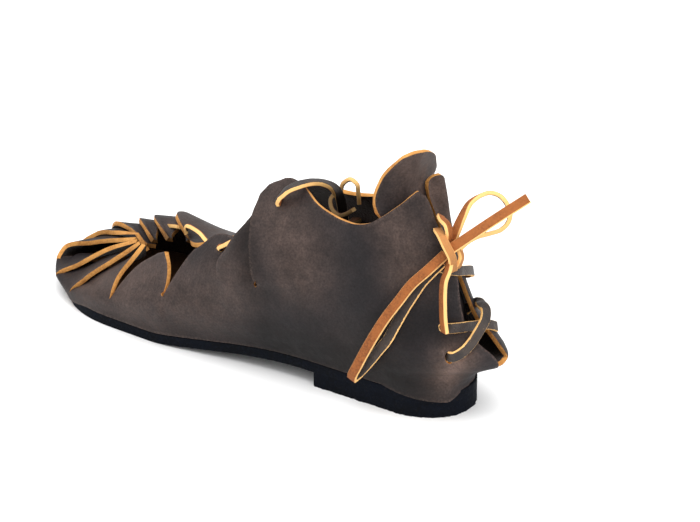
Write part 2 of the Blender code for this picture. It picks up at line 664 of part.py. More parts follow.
LOWER_LOOP = table(("x", "y", "z"),
                   (6.6, 15, 90.5), (12, 22, 83), (18, 27, 75.5), (23, 31, 66.5), (28, 34.6, 57.5),
                   (32.4, 36.8, 48.6),
                   (37.8, 38, 37.6), (42.6, 38.2, 27.6), (46.6, 37, 20), (47.8, 35, 17.4),
                   (46.6, 32.6, 19),
                   (43.4, 32.6, 23), (39.5, 33, 28), (33.2, 33.2, 37), (28.6, 32.2, 44),
                   (25.6, 30.8, 51), (23.4, 28.8, 57),
                   (21.4, 26.4, 62.5), (19, 24.2, 68), (15.6, 21.4, 75.2), (12, 18.4, 80.6),
                   (8.6, 14.6, 85.4))
UPPER_LOOP = table(("x", "y", "z"),
                   (7, 10, 94.5), (5.4, 8, 100.6), (4.4, 4, 107.3), (4, -2, 112.5), (1.5, -7, 115),
                   (-2, -10, 116.4),
                   (-6.5, -12, 115.2), (-10.5, -12, 112.2), (-13.4, -11, 108.4), (-14, -8.5, 104.6),
                   (-12.5, -5, 101.6),
                   (-8.5, -1, 99.8), (-4.2, 3, 98.6), (-1, 7, 97), (2.4, 10.6, 93))
UPPER_END = table(("x", "y", "z"), (4.5, 16.5, 93.3), (-4.7, 10.5, 101.9), (-14.5, 0.7, 111),
                  (-24.6, -9, 120))
LOWER_END = table(("x", "y", "z"),
                  (4.6, 14, 88.6), (2.6, 18.2, 84.6), (3.2, 20.6, 79.6), (3.7, 20.8, 73.5), (3.6, 20.8, 65.5),
                  (3.1, 20.8, 57.5), (2.2, 20.8, 51.5))
FINE_POINTS = 400
TOWARDS_CORNER = np.array((-0.53, 0.73, 0.44))    # out from the rear outer corner, where the bow is tied


def points_of(path):
    return np.stack([path["x"], path["y"], path["z"]], -1)


def round_heel_across(centres):
    """Width directions of a thong that lies flat round the heel."""
    out = centres - [HEEL_AXIS_X, 0, 0]
    out[:, 2] = 0.35 * np.linalg.norm(out[:, :2], axis=1)
    return np.cross(out, np.gradient(centres, axis=0))


def build_lacing(thong):
    centres = through(points_of(HEEL_PATH), np.linspace(0, 1, 44))
    ribbon("heel_lacing", centres, round_heel_across(centres), thong)
    centres = through(points_of(BAR_PATH), np.linspace(0, 1, 18))
    ribbon("heel_bar", centres, round_heel_across(centres), thong)
    centres = through(points_of(ANKLE_PATH), np.linspace(0, 1, 22))
    ribbon("ankle_thong", centres, (1, -0.2, 0.1), thong)
    centres = through(points_of(VAMP_PATH), np.linspace(0, 1, 10))
    ribbon("vamp_thong", centres, np.cross(np.gradient(centres, axis=0), (0, 0.35, 1)), thong)


def turned(centres, lean):
    """Width directions that show a thong's flesh side at the rear corner, turned by degrees."""
    tangent = np.gradient(centres, axis=0)
    tangent /= np.linalg.norm(tangent, axis=1, keepdims=True)
    angle = math.radians(lean)
    return math.cos(angle) * np.cross(tangent, TOWARDS_CORNER) + math.sin(angle) * TOWARDS_CORNER


def clear_of_knot(centres, across):
    """Mask of the path's points whose whole cross-section keeps a gap to the knot."""
    corners = sections(centres, across)
    rim = np.concatenate([corners, (corners + np.roll(corners, 1, axis=1)) / 2, centres[:, None]], axis=1)
    grown = np.array(KNOT_RADII) + GAP
    return np.linalg.norm((rim - np.array(KNOT)) / grown, axis=2).min(axis=1) > 1


def bow_thong(name, path, across_of, thong, count):
    """Thong of the bow: the run of its path that stands clear of the knot."""
    fine = through(points_of(path), np.linspace(0, 1, FINE_POINTS))
    free = np.where(clear_of_knot(fine, across_of(fine)))[0]
    chosen = fine[np.linspace(free[0], free[-1], count).round().astype(int)]
    ribbon(name, chosen, across_of(chosen), thong)


def lower_loop_across(centres):
    """Nearly face on: the loop's two legs lie one behind the other."""
    start, tip = points_of(LOWER_LOOP)[[0, 9]]
    down = (tip - start) / np.linalg.norm(tip - start)
    return 0.95 * np.cross(down, TOWARDS_CORNER) - 0.31 * TOWARDS_CORNER


def build_bow(thong):
    mesh = bpy.data.meshes.new("bow_knot")
    bm = bmesh.new()
    bmesh.ops.create_icosphere(bm, subdivisions=2, radius=1.0)
    for v in bm.verts:
        v.co = in_frame([KNOT[i] + v.co[i] * KNOT_RADII[i] for i in range(3)])
    bm.to_mesh(mesh)
    bm.free()
    mesh.materials.append(thong)
    bpy.context.collection.objects.link(bpy.data.objects.new("bow_knot", mesh))
    bow_thong("bow_loop_lower", LOWER_LOOP, lower_loop_across, thong, 44)
    bow_thong("bow_loop_upper", UPPER_LOOP, lambda centres: TOWARDS_CORNER, thong, 30)
    bow_thong("bow_end_upper", UPPER_END, lambda centres: turned(centres, 18), thong, 10)
    bow_thong("bow_end_lower", LOWER_END, lambda centres: turned(centres, -50), thong, 12)


def build_flap(leather):
    columns, rows = 27, 15
    low = foot_z(np.array([40.0]))[0] + INSOLE_THICK + GAP
    grid = np.empty((columns, rows, 3))
    shares = np.linspace(-1, 1, columns)
    for i, share in enumerate(shares):
        z = np.linspace(low, smooth(FLAP_RIM["share"], FLAP_RIM["z"], share), rows)
        side = "lateral" if share > 0 else "medial"
        turn = math.radians(FLAP_SWEEP * share)
        depth = smooth(FLAP["z"], FLAP[side + "_depth"], z)
        x = smooth(FLAP["z"], FLAP["back"], z) + depth * (1 - math.cos(turn))
        grid[i] = np.stack([x, smooth(FLAP["z"], FLAP[side + "_half"], z) * math.sin(turn), z], -1)
    curl = FLAP_LIP * (np.clip(shares - LIP_START, 0, 1) / (1 - LIP_START))[:, None] ** 2
    curl = curl * ramp(LIP_LOW, LIP_HIGH, grid[:, :, 2])
    sheet_solid("heel_flap", [grid + curl[..., None] * np.array((-0.5, 0.85, 0.1))], FLAP_THICK, leather)


clear_scene()
black_rubber = material("black rubber", (0.015, 0.016, 0.018), 0.7)
brown_leather = material("brown leather", (0.055, 0.042, 0.04), 0.5)
tan_leather = material("tan leather", (0.28, 0.13, 0.05), 0.7)
build_sole(black_rubber, tan_leather)
sheet_solid("upper", upper_panels(), LEATHER, brown_leather)
build_flap(brown_leather)
build_lacing(tan_leather)
build_bow(tan_leather)
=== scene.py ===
"""Left leather sandal: slit leather upper laced with a flat thong, on a thin rubber sole.

Tables are in millimetres: x from the back of the heel to the toe, y to the wearer's left
(the outer side of this shoe), z up from the floor.
"""
import math

import bmesh
import bpy
import numpy as np
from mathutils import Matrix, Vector
from mathutils.kdtree import KDTree


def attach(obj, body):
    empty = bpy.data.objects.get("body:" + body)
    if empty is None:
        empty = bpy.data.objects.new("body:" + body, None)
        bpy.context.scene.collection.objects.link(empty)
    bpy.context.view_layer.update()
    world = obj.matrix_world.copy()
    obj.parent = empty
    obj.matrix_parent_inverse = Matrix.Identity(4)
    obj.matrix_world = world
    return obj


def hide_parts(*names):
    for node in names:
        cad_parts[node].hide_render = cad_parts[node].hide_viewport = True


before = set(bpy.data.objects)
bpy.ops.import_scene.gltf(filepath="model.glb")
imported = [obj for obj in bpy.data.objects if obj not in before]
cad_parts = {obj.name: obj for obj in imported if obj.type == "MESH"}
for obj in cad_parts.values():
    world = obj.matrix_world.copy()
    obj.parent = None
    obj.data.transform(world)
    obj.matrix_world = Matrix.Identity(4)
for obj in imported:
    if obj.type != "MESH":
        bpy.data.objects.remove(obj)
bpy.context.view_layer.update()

# Outsole and heel lift: a thin full-length rubber sole with a waist and a toe spring, and a low
# heel block glued under its rear. Both are cut from sheet, so their sides are plain and matt
# and the lower rim of the heel is a little ragged.
MM = 0.001
HEEL_CENTRE = 40.0        # x of the frame's origin, under the middle of the heel
LENGTH = 266.0
SOLE_THICK = 5.5
HEEL_HEIGHT = 8.0
HEEL_BREAST = 78.0
HEEL_ROUND = 30.0
TOE_ROUND = 50.0
TOE_TIP_Y = -4.0
TOE_BEND = 180.0          # ahead of here the middle turns to the toe's tip
GAP = 0.3                 # between pieces that meet
HEEL_SINK = 0.6           # the heel's top is let into the outsole, so that no gap shows
RUBBER_CORNER = 0.35      # broken corners of the cut sheet
RUBBER_END = 0.15         # the first and last station stand this far from the ends
RAGGED_RIM = 0.28         # wobble of the heel's lower rim
RAGGED_LIMITS = (-0.5, 0.8)
RAGGED_BLUR = (0.2, 0.8, 0.2)
RAGGED_SEED = 7
SIDE = {1: "lateral", -1: "medial"}    # by the sign of y
RUBBER_BLACK = (0.0022, 0.0028, 0.0046, 1)
RUBBER_DUSTY = (0.0045, 0.0062, 0.0110, 1)


def table(columns, *rows):
    """Named columns of a short table, a row for each section."""
    return {name: np.array([row[i] for row in rows], float) for i, name in enumerate(columns)}


# half widths of the sole's outline before its ends are rounded
SOLE = table(
    ("x", "lateral", "medial"),
    (0, 25.5, 24.5), (34, 26, 25.5), (60, 27, 26.5), (90, 28, 25), (120, 31, 25.5), (150, 36, 31),
    (178, 39.5, 39), (205, 39.5, 44), (229, 37.5, 45), (250, 34, 42), (266, 30, 38))

# underside of the outsole: on the heel, up the waist, flat under the forefoot, toe spring
UNDERSIDE = table(
    ("x", "z"),
    (0, 8), (78, 8), (100, 7.5), (120, 6), (140, 3.9), (160, 1.6), (180, 0), (236, 0), (266, 2.5))


def hermite(t, h, first, last, first_slope, last_slope):
    """Cubic over a step h between two values with their slopes."""
    return ((1 + 2 * t) * (1 - t) ** 2 * first + t * (1 - t) ** 2 * h * first_slope
            + t * t * (3 - 2 * t) * last + t * t * (t - 1) * h * last_slope)


def smooth(xs, ys, at):
    """Monotone cubic through the rows of a table."""
    xs = np.asarray(xs, float)
    ys = np.asarray(ys, float)
    at = np.clip(np.asarray(at, float), xs[0], xs[-1])
    step = np.diff(xs)
    slope = np.diff(ys) / step
    same = slope[:-1] * slope[1:] > 0
    mean = 2 * slope[:-1] * slope[1:] / np.where(same, slope[:-1] + slope[1:], 1)
    tangent = np.r_[slope[0], np.where(same, mean, 0), slope[-1]]
    i = np.clip(np.searchsorted(xs, at, side="right") - 1, 0, len(step) - 1)
    t = (at - xs[i]) / step[i]
    return hermite(t, step[i], ys[i], ys[i + 1], tangent[i], tangent[i + 1])


def ramp(start, end, at):
    """Smooth step from 0 at the start to 1 at the end."""
    t = np.clip((np.asarray(at, float) - start) / (end - start), 0, 1)
    return t * t * (3 - 2 * t)


def end_round(x):
    """Share of the half width that the rounded heel and toe leave."""
    share = 1.0
    for left, radius in ((x, HEEL_ROUND), (LENGTH - x, TOE_ROUND)):
        share = share * np.sqrt(np.clip(1 - (1 - np.minimum(left, radius) / radius) ** 2, 0, 1))
    return share


def outline(x, side):
    """Sole's edge at station x on one side, +1 lateral or -1 medial."""
    half = smooth(SOLE["x"], SOLE[SIDE[side]], x)
    middle = TOE_TIP_Y * ramp(TOE_BEND, LENGTH, x)
    return middle + (side * half - middle) * end_round(x)


def sole_bottom(x):
    return smooth(UNDERSIDE["x"], UNDERSIDE["z"], x)


def sole_top(x):
    return sole_bottom(x) + SOLE_THICK


def foot_z(x):
    """Height of the leather's foot, just above the sole."""
    return sole_top(x) + GAP


def in_frame(points):
    """Millimetres of the tables to metres of the frame."""
    return (np.asarray(points, float) - [HEEL_CENTRE, 0, 0]) * MM


def unit(vectors):
    return vectors / np.maximum(np.linalg.norm(vectors, axis=-1, keepdims=True), 1e-9)


def linked(name, data):
    obj = bpy.data.objects.new(name, data)
    bpy.context.collection.objects.link(obj)
    return obj


def add_piece(name, points, faces, materials, repair):
    """Object from points in millimetres, shaded smooth, after a repair of its mesh."""
    mesh = bpy.data.meshes.new(name)
    mesh.from_pydata(in_frame(points).tolist(), [], faces)
    for mat in materials:
        mesh.materials.append(mat)
    mesh.shade_smooth()
    bm = bmesh.new()
    bm.from_mesh(mesh)
    repair(bm)
    bm.to_mesh(mesh)
    bm.free()
    return linked(name, mesh)


def made_plain(obj):
    """The object with its modifiers turned into plain mesh."""
    bpy.context.view_layer.update()
    ready = obj.evaluated_get(bpy.context.evaluated_depsgraph_get())
    mesh = bpy.data.meshes.new_from_object(ready)
    obj.modifiers.clear()
    obj.data = mesh
    return obj


def stands_for(piece, slot, *nodes):
    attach(piece, "root")
    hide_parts(*nodes)


def new_material(name, roughness, specular):
    mat = bpy.data.materials.new(name)
    mat.use_nodes = True
    shader = mat.node_tree.nodes["Principled BSDF"]
    shader.inputs["Roughness"].default_value = roughness
    shader.inputs["Specular IOR Level"].default_value = specular
    return mat, mat.node_tree, shader


def wire(tree, kind, inputs, **settings):
    """New node with its settings, and its inputs linked or set by name or number."""
    node = tree.nodes.new(kind)
    for key, value in settings.items():
        setattr(node, key, value)
    for key, value in inputs.items():
        if isinstance(value, bpy.types.NodeSocket):
            tree.links.new(value, node.inputs[key])
        else:
            node.inputs[key].default_value = value
    return node


def spread(tree, value, low, high, start=0.0, end=1.0):
    """A value that runs from start to end, carried over to low and high."""
    inputs = {0: value, 1: start, 2: end, 3: low, 4: high}
    return wire(tree, "ShaderNodeMapRange", inputs).outputs[0]


def object_place(tree):
    return wire(tree, "ShaderNodeTexCoord", {}).outputs["Object"]


def spots(tree, where, scale, detail, low, high):
    """Noise of a scale and detail, stretched between two levels to 0 and 1."""
    inputs = {"Vector": where, "Scale": scale, "Detail": detail, "Roughness": 0.6}
    noise = wire(tree, "ShaderNodeTexNoise", inputs).outputs["Fac"]
    return spread(tree, noise, 0.0, 1.0, low, high)


def blend(tree, share, first, second):
    inputs = {0: share, 6: first, 7: second}
    return wire(tree, "ShaderNodeMix", inputs, data_type="RGBA").outputs[2]


def relief(tree, shader, *layers):
    """Bumps laid on each other: height socket, depth in metres and strength of each."""
    normal = None
    for height, depth, strength in layers:
        inputs = {"Height": height, "Distance": depth, "Strength": strength}
        if normal is not None:
            inputs["Normal"] = normal
        normal = wire(tree, "ShaderNodeBump", inputs).outputs["Normal"]
    tree.links.new(normal, shader.inputs["Normal"])


def rubber_material():
    mat, tree, shader = new_material("black rubber", roughness=0.8, specular=0.07)
    place = object_place(tree)
    dust = spots(tree, place, 55, 6, 0.42, 0.72)
    pores = spots(tree, place, 1500, 3, 0.3, 0.7)
    speck = spots(tree, place, 600, 2, 0.5, 0.72)
    colour = blend(tree, dust, RUBBER_BLACK, RUBBER_DUSTY)
    tree.links.new(blend(tree, speck, colour, RUBBER_DUSTY), shader.inputs["Base Color"])
    tree.links.new(spread(tree, dust, 0.7, 0.88), shader.inputs["Roughness"])
    relief(tree, shader, (speck, 0.0004, 0.5), (pores, 0.0002, 0.35), (dust, 0.0004, 0.2))
    return mat


def stations(start, end, count):
    """Stations along the sole, closer together towards both ends."""
    turn = np.linspace(0, math.pi, count)
    return start + (end - start) * (1 - np.cos(turn)) / 2


def drawn_in(ring, distance):
    """A closed outline moved inwards by a distance."""
    along = unit(np.roll(ring, -1, 0) - np.roll(ring, 1, 0))
    return ring + np.reshape(distance, (-1, 1)) * np.stack([along[:, 1], -along[:, 0]], -1)


def sheet_slab(name, xs, top, bottom, mat, corner, inset=0.0, ragged=0.0):
    """Sheet cut to the sole's outline, with its upper and lower corners broken."""
    s = (xs - inset) * LENGTH / (LENGTH - 2 * inset)
    sides = []
    for side, column in SIDE.items():
        half = smooth(SOLE["x"], SOLE[column], s)
        sides.append(np.stack([xs, outline(s, side) * (1 - inset / half)], -1))
    ring = np.vstack([sides[0], sides[1][::-1]])
    count = len(ring)
    high = top(ring[:, 0])
    low = bottom(ring[:, 0])
    wobble = np.random.default_rng(RAGGED_SEED).normal(0, 1, count)
    wobble = np.r_[wobble[-2:], wobble, wobble[:2]]
    wobble = np.convolve(wobble, RAGGED_BLUR, "same")[2:-2]
    wobble = np.clip(ragged * wobble, *RAGGED_LIMITS)
    # from the top down: how far each ring is drawn in, its height and its share of the wobble
    steps = ((corner, high, 0), (0.3 * corner, high - 0.25 * corner, 0), (0, high - corner, 0),
             (0, (high + low) / 2, 0), (0, low + corner, 0.4),
             (0.3 * corner, low + 0.25 * corner, 1), (corner, low, 1))
    rings = [np.c_[drawn_in(ring, inward + share * wobble), z] for inward, z, share in steps]
    faces = []
    for k in range(len(rings) - 1):
        for i in range(count):
            a, b = k * count + i, k * count + (i + 1) % count
            faces.append((a, b, b + count, a + count))
    for start, order in ((0, -1), ((len(rings) - 1) * count, 1)):
        for i in range(len(xs) - 1):
            quad = (start + i, start + i + 1, start + count - 2 - i, start + count - 1 - i)
            faces.append(quad[::order])
    return add_piece(name, np.vstack(rings), faces, [mat],
                     lambda bm: bmesh.ops.recalc_face_normals(bm, faces=bm.faces))


black_rubber = rubber_material()
outsole = sheet_slab("rubber_outsole", stations(RUBBER_END, LENGTH - RUBBER_END, count=240),
                     sole_top, sole_bottom, black_rubber, RUBBER_CORNER)
stands_for(outsole, "rubber", "outsole")
heel_xs = stations(RUBBER_END, 2 * HEEL_BREAST, count=260)
heel_xs = np.r_[heel_xs[heel_xs < HEEL_BREAST - 0.5], HEEL_BREAST]
heel = sheet_slab("rubber_heel", heel_xs, lambda x: np.full_like(x, HEEL_HEIGHT + HEEL_SINK),
                  np.zeros_like, black_rubber, RUBBER_CORNER, ragged=RAGGED_RIM)
stands_for(heel, "rubber", "heel_lift")

# Insole: plain tan leather cut a little smaller than the sole and glued down inside the upper.
# It shows only through the collar and between the toe strips.
INSOLE_INSET = 3.4
INSOLE_THICK = 2.6
INSOLE_CORNER = 0.5
INSOLE_END = INSOLE_INSET + 0.2
INSOLE_TAN = (0.120, 0.055, 0.022, 1)
INSOLE_WORN = (0.055, 0.024, 0.010, 1)


def insole_material():
    mat, tree, shader = new_material("tan insole leather", roughness=0.75, specular=0.25)
    place = object_place(tree)
    worn = spots(tree, place, 38, 5, 0.38, 0.7)
    grain = spots(tree, place, 1300, 4, 0.3, 0.7)
    tree.links.new(blend(tree, worn, INSOLE_TAN, INSOLE_WORN), shader.inputs["Base Color"])
    relief(tree, shader, (grain, 0.00015, 0.4), (worn, 0.0005, 0.2))
    return mat


insole = sheet_slab("leather_insole", stations(INSOLE_END, LENGTH - INSOLE_END, count=160),
                    lambda x: foot_z(x) + INSOLE_THICK, foot_z, insole_material(),
                    INSOLE_CORNER, inset=INSOLE_INSET)
stands_for(insole, "insole_leather", "insole")

# Upper: one blank of oiled leather, slit into toe strips, vamp wings and ankle wings, drawn up
# over the foot and glued to the sole along its foot line. Its grain side is dark brown, its
# flesh side is painted almost black as shade inside the shoe, and its cut edges are raw tan.
LEATHER = 2.4
BACK_SLIT_Z = 27.5
WING_SLIT_X = {1: 105.4, -1: 113.0}    # lateral and medial side
MIDDLE_SLIT_X = 131.2
WING_SLIT_Z = 53.0
VAMP_SLIT_X = 165.0
VAMP_SLIT_Z = 31.0
MEDIAL_SLIT_X = 208.0
STERN_LENGTH = 40.0
STERN_FOOT = 1.0          # x of the foot of the open back
STERN_OPENS = (15, 27)    # heights over which the round back gives way to two edges
STERN_CURL = (12, 3)      # the medial edge curls from this distance to the middle on
LAP = 1.7                 # half the step between two lapped layers
LAP_RISE = 7.0            # height above the slit over which a lap opens
LAP_START = 0.72          # share of the ankle panel behind its lapped front
EDGE_CURL = 1.2           # the outer wing's front edge stands off a little more
EDGE_CURL_START = 0.93
RIM_CURL = 0.9            # its top rim turns out too
RIM_CURL_STARTS = (0.76, 0.84)
RIM_CURL_ENDS = (0.97, 0.91)
RIM_BAND = 0.9            # share of the height below the turned rim
LAP_FRONT = (0.5, 0.9)    # parts of a flap that lie over and under its neighbours
LAP_REAR = (0.12, 0.5)
BACK_CROWDING = 1.8       # columns of the ankle panels stand closer at the back
TONGUE_CROWDING = 3.0     # and closer still in the medial panel's upper part
TONGUE_RISE = (80, 108)
TOE_OVERHANG = 1.4
TOE_DROP = 3.0            # at the toe the foot of the upper hangs over the sole's edge
TOE_LATERAL = (80, 50)    # bearings in degrees between which the overhang sets in
TOE_MEDIAL = (-70, -30)
BACK_SLIT_ROW = 12        # grid rows below each kind of slit
WING_SLIT_ROW = 34
STRIP_SLIT_ROW = 12
ANKLE_ROWS = 80
STRIP_ROWS = 70
EDGE_ROUND = 0.50         # worn corner of a cut edge
EDGE_ANGLE = 55.0
RUB_WIDTH = 1.1           # the grain is rubbed along the cut edges
RUB_STRENGTH = 0.8
GRAIN_DARK = (0.0105, 0.0092, 0.0108, 1)
GRAIN_BROWN = (0.0270, 0.0205, 0.0200, 1)
# lighter grain for rubbed cut edges, pulled-up oil and painted light
GRAIN_PULLED_AND_LIT = (0.0880, 0.0590, 0.0490, 1)
EDGE_TAN = (0.6000, 0.2900, 0.0800, 1)
EDGE_BURNT = (0.2400, 0.0800, 0.0170, 1)
# the flesh colours are painted shade: far darker than the real orange-brown flesh side, for the
# inside of the shoe
FLESH_SHADED_BROWN = (0.0150, 0.0062, 0.0030, 1)
FLESH_SHADED_DARK = (0.0065, 0.0032, 0.0020, 1)

# half widths of the outer surface of the upper at set heights
LEVELS = (30, 50, 70, 90, 110)
TOP_LEVEL = 130.0
LATERAL = table(
    ("x", "z30", "z50", "z70", "z90", "z110"),
    (20, 29.5, 29, 25.5, 22.5, 19),
    (45, 31, 32, 30, 27, 23),
    (70, 33, 35, 33, 28.5, 21),
    (95, 34.5, 37.5, 36, 28, 10.5),
    (118, 38.5, 40.5, 36.5, 22.5, 3),
    (140, 41, 38.5, 22, 4, 0),
    (165, 43.5, 29, 9, 0, 0))
MEDIAL = table(
    ("x", "z30", "z50", "z70", "z90", "z110"),
    (20, 29, 28.5, 25, 22.5, 19),
    (45, 30.5, 31, 29, 26, 22),
    (70, 31, 33.5, 32, 26.5, 19),
    (95, 31.5, 35, 33.5, 24, 9),
    (118, 34, 37.5, 33, 18.5, 3),
    (140, 38, 37, 21, 3, 0),
    (165, 42, 31, 9, 0, 0))

# the open back, by height: how far back each side's edge reaches, its distance from the middle,
# how full the side is near it, and how far the medial edge curls forward
STERN = table(
    ("z", "lateral_back", "lateral_edge", "lateral_full", "medial_back",
     "medial_edge", "medial_full", "curl"),
    (12, 1, 0, 0.5, 1, 0, 0.5, 0), (15, 1, 0, 0.5, 1, 0, 0.5, 0),
    (20, -1.6, 0, 0.6, -1.6, 0, 0.6, 0), (24, -6.5, 0, 0.7, -6.5, 0, 0.7, 0),
    (27.5, -13.5, 0, 0.78, -13.5, 0, 0.78, 0), (30, -17.2, 2, 0.78, -17.4, 2.6, 0.78, 0),
    (33, -18.6, 3.6, 0.75, -18.4, 5, 0.75, 0), (36, -18.6, 5.4, 0.72, -15.5, 5.8, 0.72, 0),
    (39, -17.2, 7, 0.7, -12.2, 6, 0.7, 0), (42, -12.8, 8.2, 0.7, -9, 6.1, 0.7, 0),
    (45, -8.8, 9, 0.7, -5.4, 6, 0.7, 0), (50, -4.5, 9.3, 0.68, -0.5, 5, 0.68, 0),
    (55, -1.4, 9.5, 0.65, 2.8, 5, 0.66, 0), (63.5, 0.8, 9.5, 0.62, 6.6, 4.5, 0.62, 0),
    (77, 3.6, 8.4, 0.58, 12.4, 4, 0.52, 0.4), (87, 9.5, 6.5, 0.55, 16.4, 4, 0.42, 1.6),
    (98.5, 16.9, 6, 0.52, 20.4, 4, 0.3, 4.4), (110, 21.9, 6.5, 0.5, 22.4, 3.4, 0.25, 6.8),
    (117, 25.1, 8, 0.5, 23.2, 3, 0.25, 6.6), (124, 28, 8.5, 0.5, 23.6, 3, 0.25, 5.6))

# collar height from the back edge (0) to the wing's front edge (1) of each side
LATERAL_COLLAR = table(
    ("along", "z"),
    (0.00, 114.5), (0.012, 117.0), (0.04, 115.5), (0.10, 111.5), (0.17, 107), (0.225, 103.6),
    (0.31, 99.3), (0.40, 97.7), (0.47, 98.1), (0.55, 99.4), (0.64, 101.3), (0.74, 104.2),
    (0.80, 105.5), (0.85, 105.3), (0.895, 104.3), (0.925, 102.8), (0.968, 100.6), (0.99, 98),
    (1.00, 94.5))
MEDIAL_COLLAR = table(
    ("along", "z"),
    (0.00, 119.6), (0.006, 119.2), (0.02, 116.8), (0.05, 112), (0.12, 106), (0.28, 96),
    (0.41, 90.5), (0.56, 86.5), (0.68, 85.5), (0.80, 87.5), (0.90, 88), (0.96, 86), (1.00, 82))
TONGUE_ROUND = 6.0        # rounded top corner of the medial panel at the back

# rear outer corner, where the foot of the upper hangs over the sole's edge
HEEL_DROP = 4.4
HEEL_SWELL = 2.7
SWELL_RISE = (30, 14)     # heights over which the swelling sets in
DROP_START = -0.012
DROP_MIDDLE = 0.045
DROP_END = 0.34

# front edge of the ankle wing
WING_EDGE = table(
    ("z", "lateral", "medial"),
    (53, 105.4, 113), (58.5, 106.5, 115.4), (63, 107.8, 118), (68, 109.2, 120), (74, 111, 121.7),
    (80, 112.9, 122), (86.8, 114.6, 120.5), (91, 114.8, 119), (96, 114.8, 117), (99, 113, 116))

# small middle flap: its rear edge lies under the ankle wing, its front edge over the vamp wing
MIDDLE_EDGE = table(
    ("z", "rear", "front"),
    (53, 105.4, 131.2), (56.3, 104.4, 131.4), (60.2, 103.6, 130.8), (65, 102.8, 127.8),
    (70.2, 102.2, 125), (74.4, 102, 122.5), (80.6, 102, 118.6), (84, 102, 116.6),
    (87.5, 102, 114.6))
MIDDLE_TOP = table(("along", "z"), (0, 84), (0.6, 86.5), (1, 86.5))

# vamp wing: its rear edge lies under the middle flap, top edge from the rear (0) to the front (1)
VAMP_EDGE = table(
    ("z", "rear", "front"),
    (31, 131.2, 165.5), (34, 131.2, 163.9), (38, 131.2, 162.8), (46, 131.2, 160.4),
    (53, 131.2, 157), (56, 129.8, 155), (61, 128.3, 150.6), (68, 126, 149), (74, 124, 148))
VAMP_TOP = table(
    ("along", "z"),
    (0, 74), (0.4, 70), (0.7, 67), (0.85, 64.6), (0.94, 61.5), (1, 56.5))

# raised first edge of each toe strip: its slit's end, a low and a high point on the way, its tip,
# and how deep the strip before it is tucked under it
STRIPS = table(
    ("slit_x", "slit_y", "slit_z", "low_x", "low_y", "low_z", "high_x",
     "high_y", "high_z", "tip_x", "tip_y", "tip_z", "drop"),
    (165, 43.4, 31, 165.5, 39, 38, 169, 33.5, 45, 175, 28.5, 49.5, 0),
    (204, 41, 18, 205, 35, 26.5, 204.5, 21, 35.5, 205.5, 11.5, 39, 4),
    (240, 33.5, 8, 233, 29, 17.5, 220, 20.5, 29, 208.8, 10, 39, 4.6),
    (257.5, 25, 10, 246, 18.5, 19, 231, 11, 29.5, 212, 8, 38.5, 5.2),
    (268.5, 12.5, 11.5, 268.5, 7, 17.5, 251, 2.5, 24.5, 215, 5.5, 38, 8),
    (269.5, -7.5, 11, 258, -9, 23.5, 240, -5, 31, 216, 2, 39, 3.2),
    (260, -25, 10.5, 249, -15.5, 30, 230, -7, 35, 208.5, 4, 35.5, 3.8),
    (246, -38, 12, 239, -29, 27, 229.5, -14.5, 38, 206, 1, 37.5, 3.2),
    (229, -45, 14, 226, -34, 31, 219.5, -15.5, 42, 194.5, 2, 42.2, 3.2),
    (208, -46.5, 22, 209, -36, 37, 204, -17, 47.6, 179, 3, 46, 3.2))
STRIP_DROP_TIP = 7.5      # lateral strips; the medial ones only tuck under each other
STRIP_DROP_TIP_START = 0.6
STRIP_DROP_SHORTEST = 0.9    # the drop is reached soon above the slit, a deep one later
STRIP_DROP_SLOPE = 0.018
LATERAL_STRIPS = 6
STRIP_LIP = np.array((-1.9, 2.6, 1.5))    # the medial strips' first edges curl up and outwards
STRIP_LIP_RISE = (0.35, 0.7)      # shares of the strip's length over which the curl sets in
STRIP_LIP_WIDTH = 0.3             # share of the strip's width
STRIP_POINT = 0.85                # medial strips narrow by this share
STRIP_POINT_START = 0.74
STRIP_FOOT = 0.6                  # share of a strip that follows the rounded foot line
TOE_PIVOT = np.array((215.0, -2.0))    # the strips fan out round this point
TOE_AXIS = (190, 252)     # the strips tuck in towards this line inside the toe
TOE_AXIS_BACK = 12.0
TOE_SEARCH = (5.0, 90.0)  # the foot line lies between these distances from the pivot

# side tab's front edge, under the first strip
TAB_FRONT = ((200, 35, 27), (194, 29, 36), (182, 25.5, 45.5))

# medial vamp wing behind its front edge: shoulder and end of the sections towards the heel
VAMP_SLIT_SHARE = 0.56    # height of the rear slit as a share of the last section
VAMP_GROOVE = (0.06, 0.4)    # trough behind the curled front edge, as shares of the wing
MEDIAL_VAMP = table(
    ("x", "side_y", "side_z", "shoulder_y", "shoulder_z", "end_x", "end_y", "end_z"),
    (190, -44, 27, -27, 39.5, 172, 11, 50),
    (165, -41, 30, -24, 43.5, 160, 17, 54.5),
    (140, -38, 35, -26, 54, 140, 14, 63),
    (113, -36, 40, -33, 62, 112, -2, 81))


def chords(points):
    """Distance along a polyline up to each of its points."""
    return np.r_[0, np.cumsum(np.linalg.norm(np.diff(points, axis=0), axis=1))]


def through(points, at):
    """Rounded curve through a few points, parameter 0 to 1 by chord length."""
    points = np.asarray(points, float)
    chord = chords(points)
    chord /= chord[-1]
    tangent = np.gradient(points, chord, axis=0)
    at = np.asarray(at, float)
    i = np.clip(np.searchsorted(chord, at, side="right") - 1, 0, len(points) - 2)
    h = (chord[i + 1] - chord[i])[:, None]
    t = ((at - chord[i]) / h[:, 0])[:, None]
    return hermite(t, h, points[i], points[i + 1], tangent[i], tangent[i + 1])


def side_half(x, z, side):
    """Half width of the upper at a point along and a height."""
    rows = LATERAL if side > 0 else MEDIAL
    low = foot_z(x)
    values = [smooth(SOLE["x"], SOLE[SIDE[side]], x)]
    values += [smooth(rows["x"], rows["z%d" % h], x) for h in LEVELS]
    values = np.array(values + [2 * values[-1] - values[-2]])
    out = np.empty_like(low)
    for i in range(len(low)):
        z_i = min(max(z[i], low[i]), TOP_LEVEL)
        out[i] = smooth(np.r_[low[i], LEVELS, TOP_LEVEL], values[:, i], z_i)
    return out


